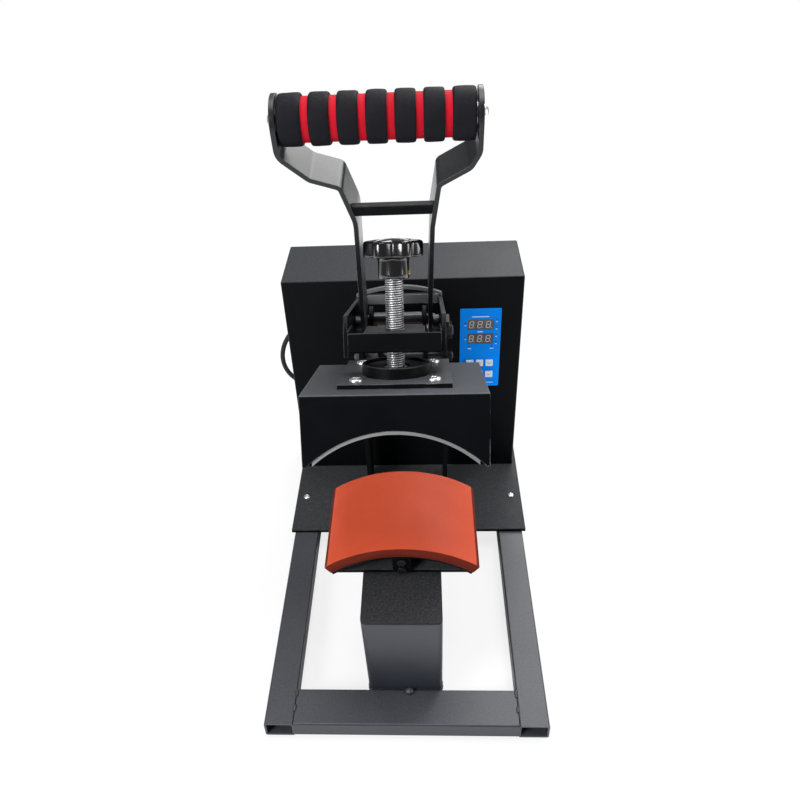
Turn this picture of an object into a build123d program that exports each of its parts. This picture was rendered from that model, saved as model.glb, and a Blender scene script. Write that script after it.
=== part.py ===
"""Cap heat press: a clamshell press with a curved heated head over a padded, curved platen.

Millimetres. +Z is up, the front (the side the operator stands at) is -Y, +X is the operator's right.
The origin is on the table under the middle of the base. The press is drawn open, with its lever up.
"""

from build123d import *
from math import asin, atan2, cos, degrees, pi, radians, sin, sqrt, tan
import os

os.makedirs("parts", exist_ok=True)

# ---------------------------------------------------------------- driving dimensions
fit = 0.1                 # radial clearance of a pin or screw in its hole
gap = 0.3                 # gap between neighbours that may move or squash
seat = 0.05               # gap left round a piece that drops into a pocket

foot_h = 6.0              # rubber feet under the frame
foot_d = 22.0
foot_screw_d = 4.0

base_w = 286.0            # welded base frame of rectangular steel tube
base_l = 474.0
tube_w = 30.0
tube_h = 20.0
tube_wall = 2.0
cross_l = 40.0            # front to back of the front cross tube
rail_w = 76.0             # wide middle rail from the front tube to the rear tube

deck_over = 4.0           # plate over the rear of the frame, past each side tube
deck_l = 214.5
deck_t = 4.0
deck_screw_out = 6.0      # its screws, outside the middle of each side tube
deck_screw_back = 59.5    # and behind its front edge

post_w = 76.0             # folded post that carries the lower platen
post_wall = 3.0
post_top = 162.0          # height of the cap's upper face
post_lean = 19.0          # how far the front wall overhangs its foot
post_depth = 144.0        # cap, front to back
cap_t = 3.0
cap_r = 5.0

pad_w = 150.0             # silicone pad, chord across its outer face
pad_r = 122.0             # radius of its outer face
pad_t = 11.0
pad_reach = 73.0          # from the front of the base to the pad's front face
pad_l = 108.0
shell_t = 3.0             # curved sheet under the pad
shelf_t = 4.0             # flat plate under the curved sheet
block_w = 18.0            # middle support between plate and sheet
bolt_d = 8.0

box_w = 284.0             # sheet-metal control box
box_l = 94.0
box_h = 289.0
box_wall = 1.5

panel_w = 49.0            # blue control panel on the box front
panel_h = 113.0
panel_x = 92.5
panel_z = 221.5           # middle of the panel
panel_t = 1.6
window_w = 31.0
window_h = 15.0
window_z = (256.0, 236.0)
key_size = 9.0
key_pitch = 12.0
key_rows = (201.5, 184.5)
key_out = 1.6             # how far a key stands out of the panel
key_travel = 0.5

hinge_ahead = 30.0        # main hinge of the upper arm, in front of the box
pivot_z = 268.0
arm_tilt = 24.0           # degrees the arm is raised in the open press
axle_d = 12.0
arm_t = 4.0
arm_in = 40.4             # inner face of each arm plate
arm_low = 13.0            # arm plate outline, in the arm's own directions
arm_high = 49.0
nose_reach = 18.0         # the arm plates end this far in front of the pressure screw
arm_end_r = 17.0
upright_t = 5.0
upright_gap = 2.0         # between arm plate and upright
upright_r = 18.0
upright_foot = 64.0

rod_back = 1.0            # pressure screw behind the middle of the pad when the arm is level
rod_d = 16.0
rod_low = -3.4
rod_high = 84.0
nut_l = 40.0              # cross block that the screw turns in
nut_low = 17.0
nut_high = 35.0

head_w = 156.0            # heated head
head_l = 133.0
head_h = 62.0
head_top = -9.0           # height of its top above the arm's hinge line
head_wall = 1.5
arch_rise = 30.8          # rise of the arch cut in the front and rear walls
heater_lip = 3.4          # the heater hangs this far below the arch
heater_t = 12.0
heater_w = 140.0
mount_w = 97.0
mount_l = 112.0
mount_t = 4.0
mount_screw_x = 33.5
mount_screw_front = 30.0  # from the pressure screw
mount_screw_rear = 50.0
cup_d = 60.0
cup_h = 10.0
cup_wall = 2.5
cup_floor = 2.0
collar_d = 24.0

knob_d = 52.0
knob_lobes = 6
knob_low = 97.0
knob_high = 111.0
knob_dome = 2.6
hub_d = 27.0
hub_low = 79.0

lever_back = 62.0         # lever pivot on the arm, behind the pressure screw
lever_w = 32.0
lever_lean = 10.0         # degrees the open lever leans forward
bar_t = 4.0
bar_in = 29.5             # inner face of each lever bar at its foot
bar_reach = 76.2          # inner face of each lever bar from the middle of the grip
grip_shift = 7.4          # the grip stands this far to the left of the middle
bar_foot_r = 14.0
bar_top_r = 20.0
grip_t = 210.0            # from lever pivot to grip
grip_d = 40.0
grip_core_d = 34.5
grip_tube_d = 22.0
grip_l = 150.0
ring_w = 5.6              # each groove between two foam rings
end_ring = 18.0           # the two outer foam rings are a little longer
segments = 7
brace_t = 136.5
brace_h = 9.0
brace_l = 8.0

link_foot_drop = 35.0     # lower pin of the toggle link, below the main hinge
link_t = 4.0
link_in = 24.0
link_w = 18.0
link_end_r = 12.0
crank_r = 20.5            # link pin from the lever pivot
crank_turn = 120.0        # degrees from the lever's direction, towards its rear edge
pin_d = 8.0
link_eye_d = 12.6         # open eye at the lever end of the link

cord_d = 7.0
coil_pitch = 7.8
coil_rise = 7.6
coil_r = 47.0
coil_x = 20.0
coil_y = 340.0
half_turns = 5

# ---------------------------------------------------------------- derived places
front_y = -base_l / 2
frame_top = foot_h + tube_h
deck_top = frame_top + deck_t
box_front = base_l / 2 - box_l
box_rear = base_l / 2
box_top = deck_top + box_h
tube_x = base_w / 2 - tube_w / 2
deck_w = base_w + 2 * deck_over
deck_front = box_rear - deck_l
deck_screw_x = tube_x + deck_screw_out
deck_screw_y = deck_front + deck_screw_back
pad_front = front_y + pad_reach
pivot_y = box_front - hinge_ahead
rod_v = pad_front + pad_l / 2 + rod_back - pivot_y     # along the arm from the main hinge
arm_nose = rod_v - nose_reach
lever_v = rod_v + lever_back
mount_screw_v = (rod_v - mount_screw_front, rod_v + mount_screw_rear)
cross_w = base_w - 2 * tube_w
arm_out = arm_in + arm_t
upright_in = arm_out + upright_gap
upright_out = upright_in + upright_t
tilt_c = cos(radians(arm_tilt))
tilt_s = sin(radians(arm_tilt))
lean_c = cos(radians(lever_lean))
lean_s = sin(radians(lever_lean))


def along_arm(v, w):
    """Y and Z of a point v behind and w above the main hinge, in the raised arm's own directions."""
    return pivot_y + v * tilt_c + w * tilt_s, pivot_z - v * tilt_s + w * tilt_c


def arm_level(v, w):
    """A plane square to the pressure screw, its X across the press and its Y rearwards."""
    y, z = along_arm(v, w)
    return Plane(origin=(0, y, z), x_dir=(1, 0, 0), z_dir=(0, tilt_s, tilt_c))


def arm_side(x):
    """An upright plane along the arm: its X runs rearwards, its Y up, measured from the main hinge."""
    return Plane(origin=(x, pivot_y, pivot_z), x_dir=(0, tilt_c, -tilt_s), z_dir=(1, 0, 0))


def arm_face(v):
    """A plane square to the arm, seen from the front: its X across, its Y up from the hinge line."""
    y, z = along_arm(v, 0)
    return Plane(origin=(0, y, z), x_dir=(1, 0, 0), z_dir=(0, -tilt_c, tilt_s))


lever_y, lever_z = along_arm(lever_v, lever_w)


def lever_side(x):
    """An upright plane along the lever: its X runs to the rear edge, its Y towards the grip."""
    return Plane(origin=(x, lever_y, lever_z), x_dir=(0, lean_c, lean_s), z_dir=(1, 0, 0))


def lever_face(depth):
    """A plane square to the lever's sides, seen from the front, depth behind the pivot."""
    y = lever_y + depth * lean_c
    z = lever_z + depth * lean_s
    return Plane(origin=(0, y, z), x_dir=(1, 0, 0), z_dir=(0, -lean_c, -lean_s))


def across(x):
    """A plane across the press: its X runs rearwards, its Y up."""
    return Plane(origin=(x, 0, 0), x_dir=(0, 1, 0), z_dir=(1, 0, 0))


def save(part, name):
    part.label = name
    export_step(part, "parts/" + name + ".step")
    return part


# ---------------------------------------------------------------- base frame
foot_x = tube_x
foot_ys = (front_y + 30, base_l / 2 - 30)
foot_hole_d = foot_screw_d + 2 * fit

for side, name in ((-1, "side_tube_left"), (1, "side_tube_right")):
    with BuildPart() as side_tube:
        with BuildSketch(Plane.XZ.offset(-front_y)):
            with Locations((side * tube_x, foot_h + tube_h / 2)):
                RectangleRounded(tube_w, tube_h, tube_wall)
                Rectangle(tube_w - 2 * tube_wall, tube_h - 2 * tube_wall, mode=Mode.SUBTRACT)
        extrude(amount=-base_l)
        with BuildSketch(Plane.XY.offset(foot_h)):
            with Locations(*[(side * foot_x, y) for y in foot_ys]):
                Circle(foot_hole_d / 2)
        extrude(amount=tube_wall, mode=Mode.SUBTRACT)
        with BuildSketch(Plane.XY.offset(frame_top)):
            with Locations((side * deck_screw_x, deck_screw_y)):
                Circle(foot_hole_d / 2)
        extrude(amount=-tube_wall, mode=Mode.SUBTRACT)
    save(side_tube.part, name)

for name, y0 in (("front_cross_tube", front_y), ("rear_cross_tube", base_l / 2 - cross_l)):
    with BuildPart() as cross_tube:
        with BuildSketch(Plane.YZ.offset(-cross_w / 2)):
            with Locations((y0 + cross_l / 2, foot_h + tube_h / 2)):
                RectangleRounded(cross_l, tube_h, tube_wall)
                Rectangle(cross_l - 2 * tube_wall, tube_h - 2 * tube_wall, mode=Mode.SUBTRACT)
        extrude(amount=cross_w)
    save(cross_tube.part, name)

rail_front = front_y + cross_l
rail_l = base_l - 2 * cross_l
with BuildPart() as rail:
    with BuildSketch(Plane.XZ.offset(-rail_front)):
        with Locations((0, foot_h + tube_h / 2)):
            RectangleRounded(rail_w, tube_h, tube_wall)
            Rectangle(rail_w - 2 * tube_wall, tube_h - 2 * tube_wall, mode=Mode.SUBTRACT)
    extrude(amount=-rail_l)
save(rail.part, "centre_rail")

foot_places = [(sx * foot_x, y) for sx in (-1, 1) for y in foot_ys]
foot_head_d = 8.0
foot_web = 3.0            # rubber left under the screw head's seat
with BuildPart() as feet:
    for place in foot_places:
        with Locations((place[0], place[1], 0)):
            Cone(foot_d / 2 - 1.5, foot_d / 2, foot_h, align=(Align.CENTER, Align.CENTER, Align.MIN))
            Cylinder(foot_head_d / 2 + gap, foot_h - foot_web,
                     align=(Align.CENTER, Align.CENTER, Align.MIN), mode=Mode.SUBTRACT)
            Cylinder(foot_hole_d / 2, foot_h, align=(Align.CENTER, Align.CENTER, Align.MIN),
                     mode=Mode.SUBTRACT)
save(feet.part, "rubber_feet")

# ---------------------------------------------------------------- deck plate
axle_bolt_x = upright_in + upright_t / 2
with BuildPart() as deck:
    with BuildSketch(Plane.XY.offset(frame_top)):
        with Locations((0, (deck_front + box_rear) / 2)):
            Rectangle(deck_w, box_rear - deck_front)
        with Locations((deck_screw_x, deck_screw_y), (-deck_screw_x, deck_screw_y)):
            Circle(foot_hole_d / 2, mode=Mode.SUBTRACT)
    extrude(amount=deck_t)
    chamfer(deck.edges().group_by(Axis.Z)[-1].group_by(Axis.Y)[0], length=0.8)
save(deck.part, "deck_plate")

# ---------------------------------------------------------------- platen post
cap_low = post_top - cap_t
cap_front = front_y + cross_l - post_lean
post_foot_l = 100.0       # foot of the post on the rail, front to back
post_front_foot = front_y + cross_l
post_slope = atan2(post_lean, cap_low - frame_top)
rear_slope = atan2(cap_front + post_depth - post_front_foot - post_foot_l, cap_low - frame_top)


def post_profile(inset, above):
    """Side outline of the folded post, its two leaning walls moved in, reaching past both ends."""
    front = inset / cos(post_slope)
    rear = inset / cos(rear_slope)
    low = frame_top - above
    high = cap_low + above
    run = high - low
    y_front = post_front_foot + front + above * tan(post_slope)
    y_rear = post_front_foot + post_foot_l - rear - above * tan(rear_slope)
    return [(y_front, low), (y_front - run * tan(post_slope), high),
            (y_rear + run * tan(rear_slope), high), (y_rear, low)]


with BuildPart() as post:
    with BuildSketch(across(-post_w / 2)):
        with BuildLine():
            Polyline(*post_profile(0, 0), close=True)
        make_face()
    extrude(amount=post_w)
    corners = [e for e in post.edges() if abs(e.tangent_at(0.5).X) < 0.5 and abs(e.tangent_at(0.5).Z) > 0.5]
    fillet(corners, radius=cap_r)
    with BuildSketch(across(-post_w / 2 + post_wall)):
        with BuildLine():
            Polyline(*post_profile(post_wall, 1), close=True)
        make_face()
    extrude(amount=post_w - 2 * post_wall, mode=Mode.SUBTRACT)
save(post.part, "platen_post")

with BuildPart() as cap:
    with BuildSketch(Plane.XY.offset(cap_low)):
        with Locations((0, cap_front + post_depth / 2)):
            RectangleRounded(post_w, post_depth, cap_r)
        with Locations((0, pad_front + pad_l * 0.25), (0, pad_front + pad_l * 0.75)):
            Circle(bolt_d / 2 + fit, mode=Mode.SUBTRACT)
    extrude(amount=cap_t)
save(cap.part, "post_cap")

# ---------------------------------------------------------------- lower platen
half_angle = degrees(asin(pad_w / 2 / pad_r))
inner_r = pad_r - pad_t
shell_in_r = inner_r - shell_t
shelf_low = post_top
shelf_top = shelf_low + shelf_t
shelf_half = inner_r * sin(radians(half_angle))
# the curved sheet's inner corners stand on the flat plate
arc_mid_z = shelf_top - shell_in_r * cos(radians(half_angle))
bolt_ys = (pad_front + pad_l * 0.25, pad_front + pad_l * 0.75)


def arc_band(outer, inner, mid_z, half, y0, length):
    """A curved band about a line that runs front to back: outer and inner radius, half angle."""
    a = radians(half)
    with BuildPart() as band:
        with BuildSketch(Plane.XZ.offset(-y0)):
            with BuildLine():
                RadiusArc((-outer * sin(a), mid_z + outer * cos(a)),
                          (outer * sin(a), mid_z + outer * cos(a)), outer)
                Line((outer * sin(a), mid_z + outer * cos(a)), (inner * sin(a), mid_z + inner * cos(a)))
                RadiusArc((inner * sin(a), mid_z + inner * cos(a)),
                          (-inner * sin(a), mid_z + inner * cos(a)), -inner)
                Line((-inner * sin(a), mid_z + inner * cos(a)), (-outer * sin(a), mid_z + outer * cos(a)))
            make_face()
        extrude(amount=-length)
    return band.part


save(arc_band(pad_r, inner_r + gap, arc_mid_z, half_angle, pad_front, pad_l), "silicone_pad")
save(arc_band(inner_r, shell_in_r, arc_mid_z, half_angle, pad_front + 1, pad_l - 2), "platen_shell")

shelf_back = 6.0          # the flat plate's front edge stands this far behind the pad's
with BuildPart() as shelf:
    with BuildSketch(Plane.XY.offset(shelf_low)):
        with Locations((0, pad_front + (pad_l + shelf_back) / 2)):
            RectangleRounded(2 * shelf_half, pad_l - shelf_back - 2, 2)
        with Locations(*[(0, y) for y in bolt_ys]):
            Circle(bolt_d / 2 + fit, mode=Mode.SUBTRACT)
    extrude(amount=shelf_t)
save(shelf.part, "platen_shelf")

block_top_r = shell_in_r - seat
block_front = pad_front + 4
block_screw_zs = (shelf_top + 5, shelf_top + 16)
with BuildPart() as block:
    with BuildSketch(Plane.XZ.offset(-block_front)):
        with BuildLine():
            half_block = block_w / 2
            crown = arc_mid_z + sqrt(block_top_r ** 2 - half_block ** 2)
            Polyline((half_block, crown), (half_block, shelf_top), (-half_block, shelf_top),
                     (-half_block, crown))
            RadiusArc((-half_block, crown), (half_block, crown), block_top_r)
        make_face()
    extrude(amount=-(pad_l - 8))
    with BuildSketch(Plane.XY.offset(shelf_top)):
        with Locations(*[(0, y) for y in bolt_ys]):
            Circle(bolt_d / 2 + fit)
    extrude(amount=14, mode=Mode.SUBTRACT)
    with BuildSketch(Plane.XZ.offset(-block_front)):
        with Locations(*[(0, z) for z in block_screw_zs]):
            Circle(2.5 + fit)
    extrude(amount=-12, mode=Mode.SUBTRACT)
save(block.part, "platen_block")

bolt_head_t = 5.0
with BuildPart() as platen_bolts:
    with BuildSketch(Plane.XY.offset(cap_low - bolt_head_t)):
        with Locations(*[(0, y) for y in bolt_ys]):
            RegularPolygon(7.5, 6)
    extrude(amount=bolt_head_t)
    with BuildSketch(Plane.XY.offset(cap_low)):
        with Locations(*[(0, y) for y in bolt_ys]):
            Circle(bolt_d / 2)
    extrude(amount=cap_t + shelf_t + 12)
    with BuildSketch(Plane.XZ.offset(-block_front)):
        with Locations(*[(0, z) for z in block_screw_zs]):
            RegularPolygon(4.5, 6)
    extrude(amount=3.5)
    with BuildSketch(Plane.XZ.offset(-block_front)):
        with Locations(*[(0, z) for z in block_screw_zs]):
            Circle(2.5)
    extrude(amount=-10)
save(platen_bolts.part, "platen_bolts")

# ---------------------------------------------------------------- uprights, hinge pins and spacers
link_foot_z = pivot_z - link_foot_drop
for side, name in ((-1, "upright_left"), (1, "upright_right")):
    with BuildPart() as upright:
        with BuildSketch(across(side * upright_in)):
            with BuildLine():
                l1 = Line((pivot_y - upright_foot / 2, deck_top), (pivot_y - upright_r, pivot_z))
                l2 = RadiusArc((pivot_y - upright_r, pivot_z), (pivot_y + upright_r, pivot_z), upright_r)
                l3 = Line((pivot_y + upright_r, pivot_z), (pivot_y + upright_r, deck_top))
                l4 = Line((pivot_y + upright_r, deck_top), (pivot_y - upright_foot / 2, deck_top))
            make_face()
            with Locations((pivot_y, pivot_z)):
                Circle(axle_d / 2 + fit, mode=Mode.SUBTRACT)
            with Locations((pivot_y, link_foot_z)):
                Circle(pin_d / 2 + fit, mode=Mode.SUBTRACT)
        extrude(amount=side * upright_t)
    save(upright.part, name)

nut_t = 6.0
axle_half = upright_out + nut_t + 1.5
with BuildPart() as pins:
    with BuildSketch(across(-axle_half)):
        with Locations((pivot_y, pivot_z)):
            Circle(axle_d / 2)
        with Locations((pivot_y, link_foot_z)):
            Circle(pin_d / 2)
    extrude(amount=2 * axle_half)
    chamfer(pins.edges().filter_by(GeomType.CIRCLE), length=0.8)
    for side in (-1, 1):
        with BuildSketch(across(side * upright_out)):
            with Locations((pivot_y, pivot_z)):
                RegularPolygon(10.4, 6)
                Circle(axle_d / 2 + seat, mode=Mode.SUBTRACT)
            with Locations((pivot_y, link_foot_z)):
                RegularPolygon(7.5, 6)
                Circle(pin_d / 2 + seat, mode=Mode.SUBTRACT)
        extrude(amount=side * nut_t)
save(pins.part, "hinge_bolts")

sleeve_d = 18.0
spacer_d = 14.0
link_out = link_in + link_t
with BuildPart() as spacers:
    with BuildSketch(across(-arm_in + gap)):
        with Locations((pivot_y, pivot_z)):
            Circle(sleeve_d / 2)
            Circle(axle_d / 2 + fit, mode=Mode.SUBTRACT)
    extrude(amount=2 * (arm_in - gap))
    with BuildSketch(across(-link_in + gap)):
        with Locations((pivot_y, link_foot_z)):
            Circle(spacer_d / 2)
            Circle(pin_d / 2 + fit, mode=Mode.SUBTRACT)
    extrude(amount=2 * (link_in - gap))
    for side in (-1, 1):
        with BuildSketch(across(side * (link_out + gap))):
            with Locations((pivot_y, link_foot_z)):
                Circle(spacer_d / 2)
                Circle(pin_d / 2 + fit, mode=Mode.SUBTRACT)
        extrude(amount=side * (upright_in - link_out - 2 * gap))
save(spacers.part, "pivot_spacers")

# ---------------------------------------------------------------- control box
rear_in = box_rear - box_wall
switch_x = 80.0
switch_z = 110.0
switch_w = 27.5
switch_h = 21.5
gland_x = -112.0
gland_z = 176.0
gland_hole_d = 13.0
board_w = 70.0
board_h = 120.0
board_t = 1.6
board_y = box_front + 9.0
ear_w = 15.0              # nut blocks welded inside the rear corners of the box
ear_t = 8.0
cover_screw_x = box_w / 2 - 8
cover_corners = [(sx, z) for sx in (-1, 1) for z in (deck_top + 12, box_top - 12)]
cover_places = [(sx * cover_screw_x, z) for sx, z in cover_corners]
key_places = [(panel_x + (i - 1) * key_pitch, z) for z in key_rows for i in range(3)]
stem = 4.0                # square stem of a key, through the panel and the box
with BuildPart() as box_shell:
    with BuildSketch(Plane.XY.offset(deck_top)):
        with Locations((0, (box_front + rear_in) / 2)):
            Rectangle(box_w, rear_in - box_front)
    extrude(amount=box_h)
    fillet(box_shell.edges().filter_by(Axis.Z).sort_by(Axis.Y)[:2], radius=2.5)
    fillet(box_shell.faces().sort_by(Axis.Z)[-1].edges().sort_by(Axis.Y)[0], radius=2.2)
    offset(amount=-box_wall, openings=[box_shell.faces().sort_by(Axis.Y)[-1],
                                       box_shell.faces().sort_by(Axis.Z)[0]])
    with BuildSketch(Plane.XZ.offset(-box_front)):
        with Locations(*[(panel_x, z) for z in window_z]):
            Rectangle(window_w, window_h)
        with Locations(*key_places):
            Rectangle(stem + 2 * gap, stem + 2 * gap)
    extrude(amount=-box_wall, mode=Mode.SUBTRACT)
    for sx, z in cover_corners:
        with BuildSketch(Plane.XZ.offset(-rear_in)):
            with Locations((sx * (box_w / 2 - ear_w / 2), z)):
                Rectangle(ear_w, 14)
            with Locations((sx * cover_screw_x, z)):
                Circle(foot_hole_d / 2, mode=Mode.SUBTRACT)
        extrude(amount=ear_t)
save(box_shell.part, "box_shell")

lid_margin = 2.0
vent_rows = 7
with BuildPart() as rear_cover:
    with BuildSketch(Plane.XZ.offset(-rear_in)):
        with Locations((0, deck_top + box_h / 2)):
            Rectangle(box_w - 2 * lid_margin, box_h - 2 * lid_margin)
        with Locations((switch_x, switch_z)):
            Rectangle(switch_w + 2 * seat, switch_h + 2 * seat, mode=Mode.SUBTRACT)
        with Locations((gland_x, gland_z)):
            Circle(gland_hole_d / 2, mode=Mode.SUBTRACT)
        with Locations(*cover_places):
            Circle(foot_hole_d / 2, mode=Mode.SUBTRACT)
        with Locations((0, deck_top + box_h * 0.72)):
            with GridLocations(1, 9, 1, vent_rows):
                SlotOverall(90, 4, mode=Mode.SUBTRACT)
    extrude(amount=-box_wall)
save(rear_cover.part, "rear_cover")

screw_head_d = 8.0
screw_head_t = 2.6
screw_l = 7.0
with BuildPart() as pan_screws:
    for sx in (-1, 1):
        with BuildSketch(Plane.XY.offset(deck_top)):
            with Locations((sx * deck_screw_x, deck_screw_y)):
                Circle(screw_head_d / 2)
        extrude(amount=screw_head_t, taper=12)
        with BuildSketch(Plane.XY.offset(deck_top)):
            with Locations((sx * deck_screw_x, deck_screw_y)):
                Circle(foot_screw_d / 2)
        extrude(amount=-screw_l)
    for x, z in cover_places:
        with BuildSketch(Plane.XZ.offset(-box_rear)):
            with Locations((x, z)):
                Circle(screw_head_d / 2)
        extrude(amount=-screw_head_t, taper=12)
        with BuildSketch(Plane.XZ.offset(-box_rear)):
            with Locations((x, z)):
                Circle(foot_screw_d / 2)
        extrude(amount=screw_l)
    with BuildSketch(Plane.XY.offset(foot_h - foot_web)):
        with Locations(*foot_places):
            Circle(screw_head_d / 2)
    extrude(amount=-(foot_h - foot_web - 0.6))
    with BuildSketch(Plane.XY.offset(foot_h - foot_web)):
        with Locations(*foot_places):
            Circle(foot_screw_d / 2)
    extrude(amount=foot_web + tube_wall + 3)
save(pan_screws.part, "pan_screws")

# ---------------------------------------------------------------- control panel
bezel_r = 1.5
with BuildPart() as panel:
    with BuildSketch(Plane.XZ.offset(-box_front)):
        with Locations((panel_x, panel_z)):
            RectangleRounded(panel_w, panel_h, bezel_r)
        with Locations(*[(panel_x, z) for z in window_z]):
            Rectangle(window_w, window_h, mode=Mode.SUBTRACT)
        with Locations(*key_places):
            Rectangle(stem + 2 * gap, stem + 2 * gap, mode=Mode.SUBTRACT)
    extrude(amount=panel_t)
save(panel.part, "control_panel")

display_depth = board_y - box_front + panel_t - 0.4
with BuildPart() as displays:
    with BuildSketch(Plane.XZ.offset(-(box_front - panel_t + 0.4))):
        with Locations(*[(panel_x, z) for z in window_z]):
            Rectangle(window_w - 2 * seat, window_h - 2 * seat)
    extrude(amount=-display_depth)
save(displays.part, "digit_displays")

with BuildPart() as board:
    with BuildSketch(Plane.XZ.offset(-board_y)):
        with Locations((panel_x, panel_z)):
            Rectangle(board_w, board_h)
    extrude(amount=-board_t)
    with BuildSketch(Plane.XZ.offset(-(board_y + board_t))):
        with Locations((panel_x - 16, panel_z - 34)):
            Rectangle(22, 28)
        with Locations((panel_x + 14, panel_z - 36)):
            Rectangle(18, 20)
        with Locations((panel_x, panel_z + 48)):
            Rectangle(44, 10)
    extrude(amount=-15)
    with BuildSketch(Plane.XZ.offset(-board_y)):
        with Locations(*[(panel_x + sx * (board_w / 2 - 4), panel_z + sz * (board_h / 2 - 4))
                         for sx in (-1, 1) for sz in (-1, 1)]):
            Circle(3)
    extrude(amount=board_y - box_front - box_wall)
save(board.part, "control_board")

key_low = key_out - key_travel - gap
stem_l = panel_t + box_wall + 2.0
for number, (x, z) in enumerate(key_places, start=1):
    with BuildPart() as key:
        with BuildSketch(Plane.XZ.offset(-(box_front - panel_t - key_travel - gap))):
            with Locations((x, z)):
                RectangleRounded(key_size, key_size, 0.8)
        extrude(amount=key_out)
        fillet(key.faces().sort_by(Axis.Y)[0].edges(), radius=0.35)
        with BuildSketch(Plane.XZ.offset(-(box_front - panel_t - key_travel - gap))):
            with Locations((x, z)):
                Rectangle(stem, stem)
        extrude(amount=-(stem_l + key_travel + gap))
    save(key.part, "key_%d" % number)

# ---------------------------------------------------------------- switch and gland on the rear cover
switch_lip = 2.0
switch_depth = 22.0
rocker_w = 19.6
rocker_h = 14.0
rocker_axis_y = box_rear - 3.0
rocker_pin_d = 3.2
rocker_pin_l = 1.5
with BuildPart() as switch_body:
    with BuildSketch(Plane.XZ.offset(-box_rear)):
        with Locations((switch_x, switch_z)):
            RectangleRounded(switch_w + 4, switch_h + 4, 2)
            Rectangle(rocker_w + 4 * gap, rocker_h + 2 * gap, mode=Mode.SUBTRACT)
    extrude(amount=-switch_lip)
    with BuildSketch(Plane.XZ.offset(-box_rear)):
        with Locations((switch_x, switch_z)):
            Rectangle(switch_w, switch_h)
    extrude(amount=switch_depth)
    with BuildSketch(Plane.XZ.offset(-box_rear)):
        with Locations((switch_x, switch_z)):
            Rectangle(rocker_w + 4 * gap, rocker_h + 2 * gap)
    extrude(amount=12, mode=Mode.SUBTRACT)
    with BuildSketch(Plane.XY.offset(switch_z - rocker_h / 2 - rocker_pin_l - gap)):
        with Locations((switch_x, rocker_axis_y)):
            Circle(rocker_pin_d / 2 + fit)
    extrude(amount=rocker_h + 2 * (rocker_pin_l + gap), mode=Mode.SUBTRACT)
save(switch_body.part, "switch_housing")

rocker_tilt = 8.0
with BuildPart() as rocker:
    with BuildSketch(Plane.XY.offset(switch_z - rocker_h / 2 - rocker_pin_l)):
        with Locations((switch_x, rocker_axis_y)):
            Circle(rocker_pin_d / 2)
    extrude(amount=rocker_h + 2 * rocker_pin_l)
    with BuildSketch(Plane(origin=(switch_x, rocker_axis_y, switch_z - rocker_h / 2),
                           x_dir=(cos(radians(rocker_tilt)), -sin(radians(rocker_tilt)), 0))):
        with BuildLine():
            Polyline((-rocker_w / 2, 2.4), (-rocker_w / 2 + 3, -4), (rocker_w / 2 - 3, -4),
                     (rocker_w / 2, 2.4), (0, 4.6), close=True)
        make_face()
    extrude(amount=rocker_h)
save(rocker.part, "switch_rocker")

gland_l = 25.0
with BuildPart() as gland:
    with BuildSketch(Plane.XZ.offset(-(box_rear - 6))):
        with Locations((gland_x, gland_z)):
            Circle(gland_hole_d / 2 - seat)
    extrude(amount=-6)
    with BuildSketch(Plane.XZ.offset(-box_rear)):
        with Locations((gland_x, gland_z)):
            Circle(10)
    extrude(amount=-4)
    with BuildSketch(Plane.XZ.offset(-(box_rear + 4))):
        with Locations((gland_x, gland_z)):
            Circle(7.5)
    with BuildSketch(Plane.XZ.offset(-(box_rear + gland_l))):
        with Locations((gland_x, gland_z)):
            Circle(4.8)
    loft()
save(gland.part, "cord_gland")

# ---------------------------------------------------------------- upper arm
for side, name in ((-1, "arm_plate_left"), (1, "arm_plate_right")):
    with BuildPart() as arm:
        with BuildSketch(arm_side(side * arm_in)):
            with BuildLine():
                Polyline((0, -arm_end_r), (-70, -2), (lever_v + 10, arm_low), (arm_nose, arm_low),
                         (arm_nose, arm_high - 12), (arm_nose + 7, arm_high), (-78, arm_high),
                         (-40, 30), (0, arm_end_r))
                RadiusArc((0, arm_end_r), (0, -arm_end_r), arm_end_r)
            make_face()
            Circle(axle_d / 2 + fit, mode=Mode.SUBTRACT)
            with Locations((lever_v, lever_w)):
                Circle(pin_d / 2 + fit, mode=Mode.SUBTRACT)
        extrude(amount=side * arm_t)
    save(arm.part, name)

with BuildPart() as nut_block:
    with BuildSketch(arm_level(rod_v, nut_low)):
        Rectangle(2 * arm_in, nut_l)
        Circle(rod_d / 2 + fit, mode=Mode.SUBTRACT)
    extrude(amount=nut_high - nut_low)
    chamfer(nut_block.edges().filter_by(Axis.X), length=1.2)
    # both ends slope down to the rear, where the lever's bars come to rest when the press is shut
    for side in (-1, 1):
        with BuildSketch(arm_side(side * (bar_in - 3))):
            with BuildLine():
                Polyline((lever_v - 33.0, lever_w - 8.2), (lever_v - 91.6, lever_w + 4.7),
                         (lever_v - 91.6, lever_w + 28), (lever_v - 33.0, lever_w + 28), close=True)
            make_face()
        extrude(amount=side * 20, mode=Mode.SUBTRACT)
save(nut_block.part, "cross_block")

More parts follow.
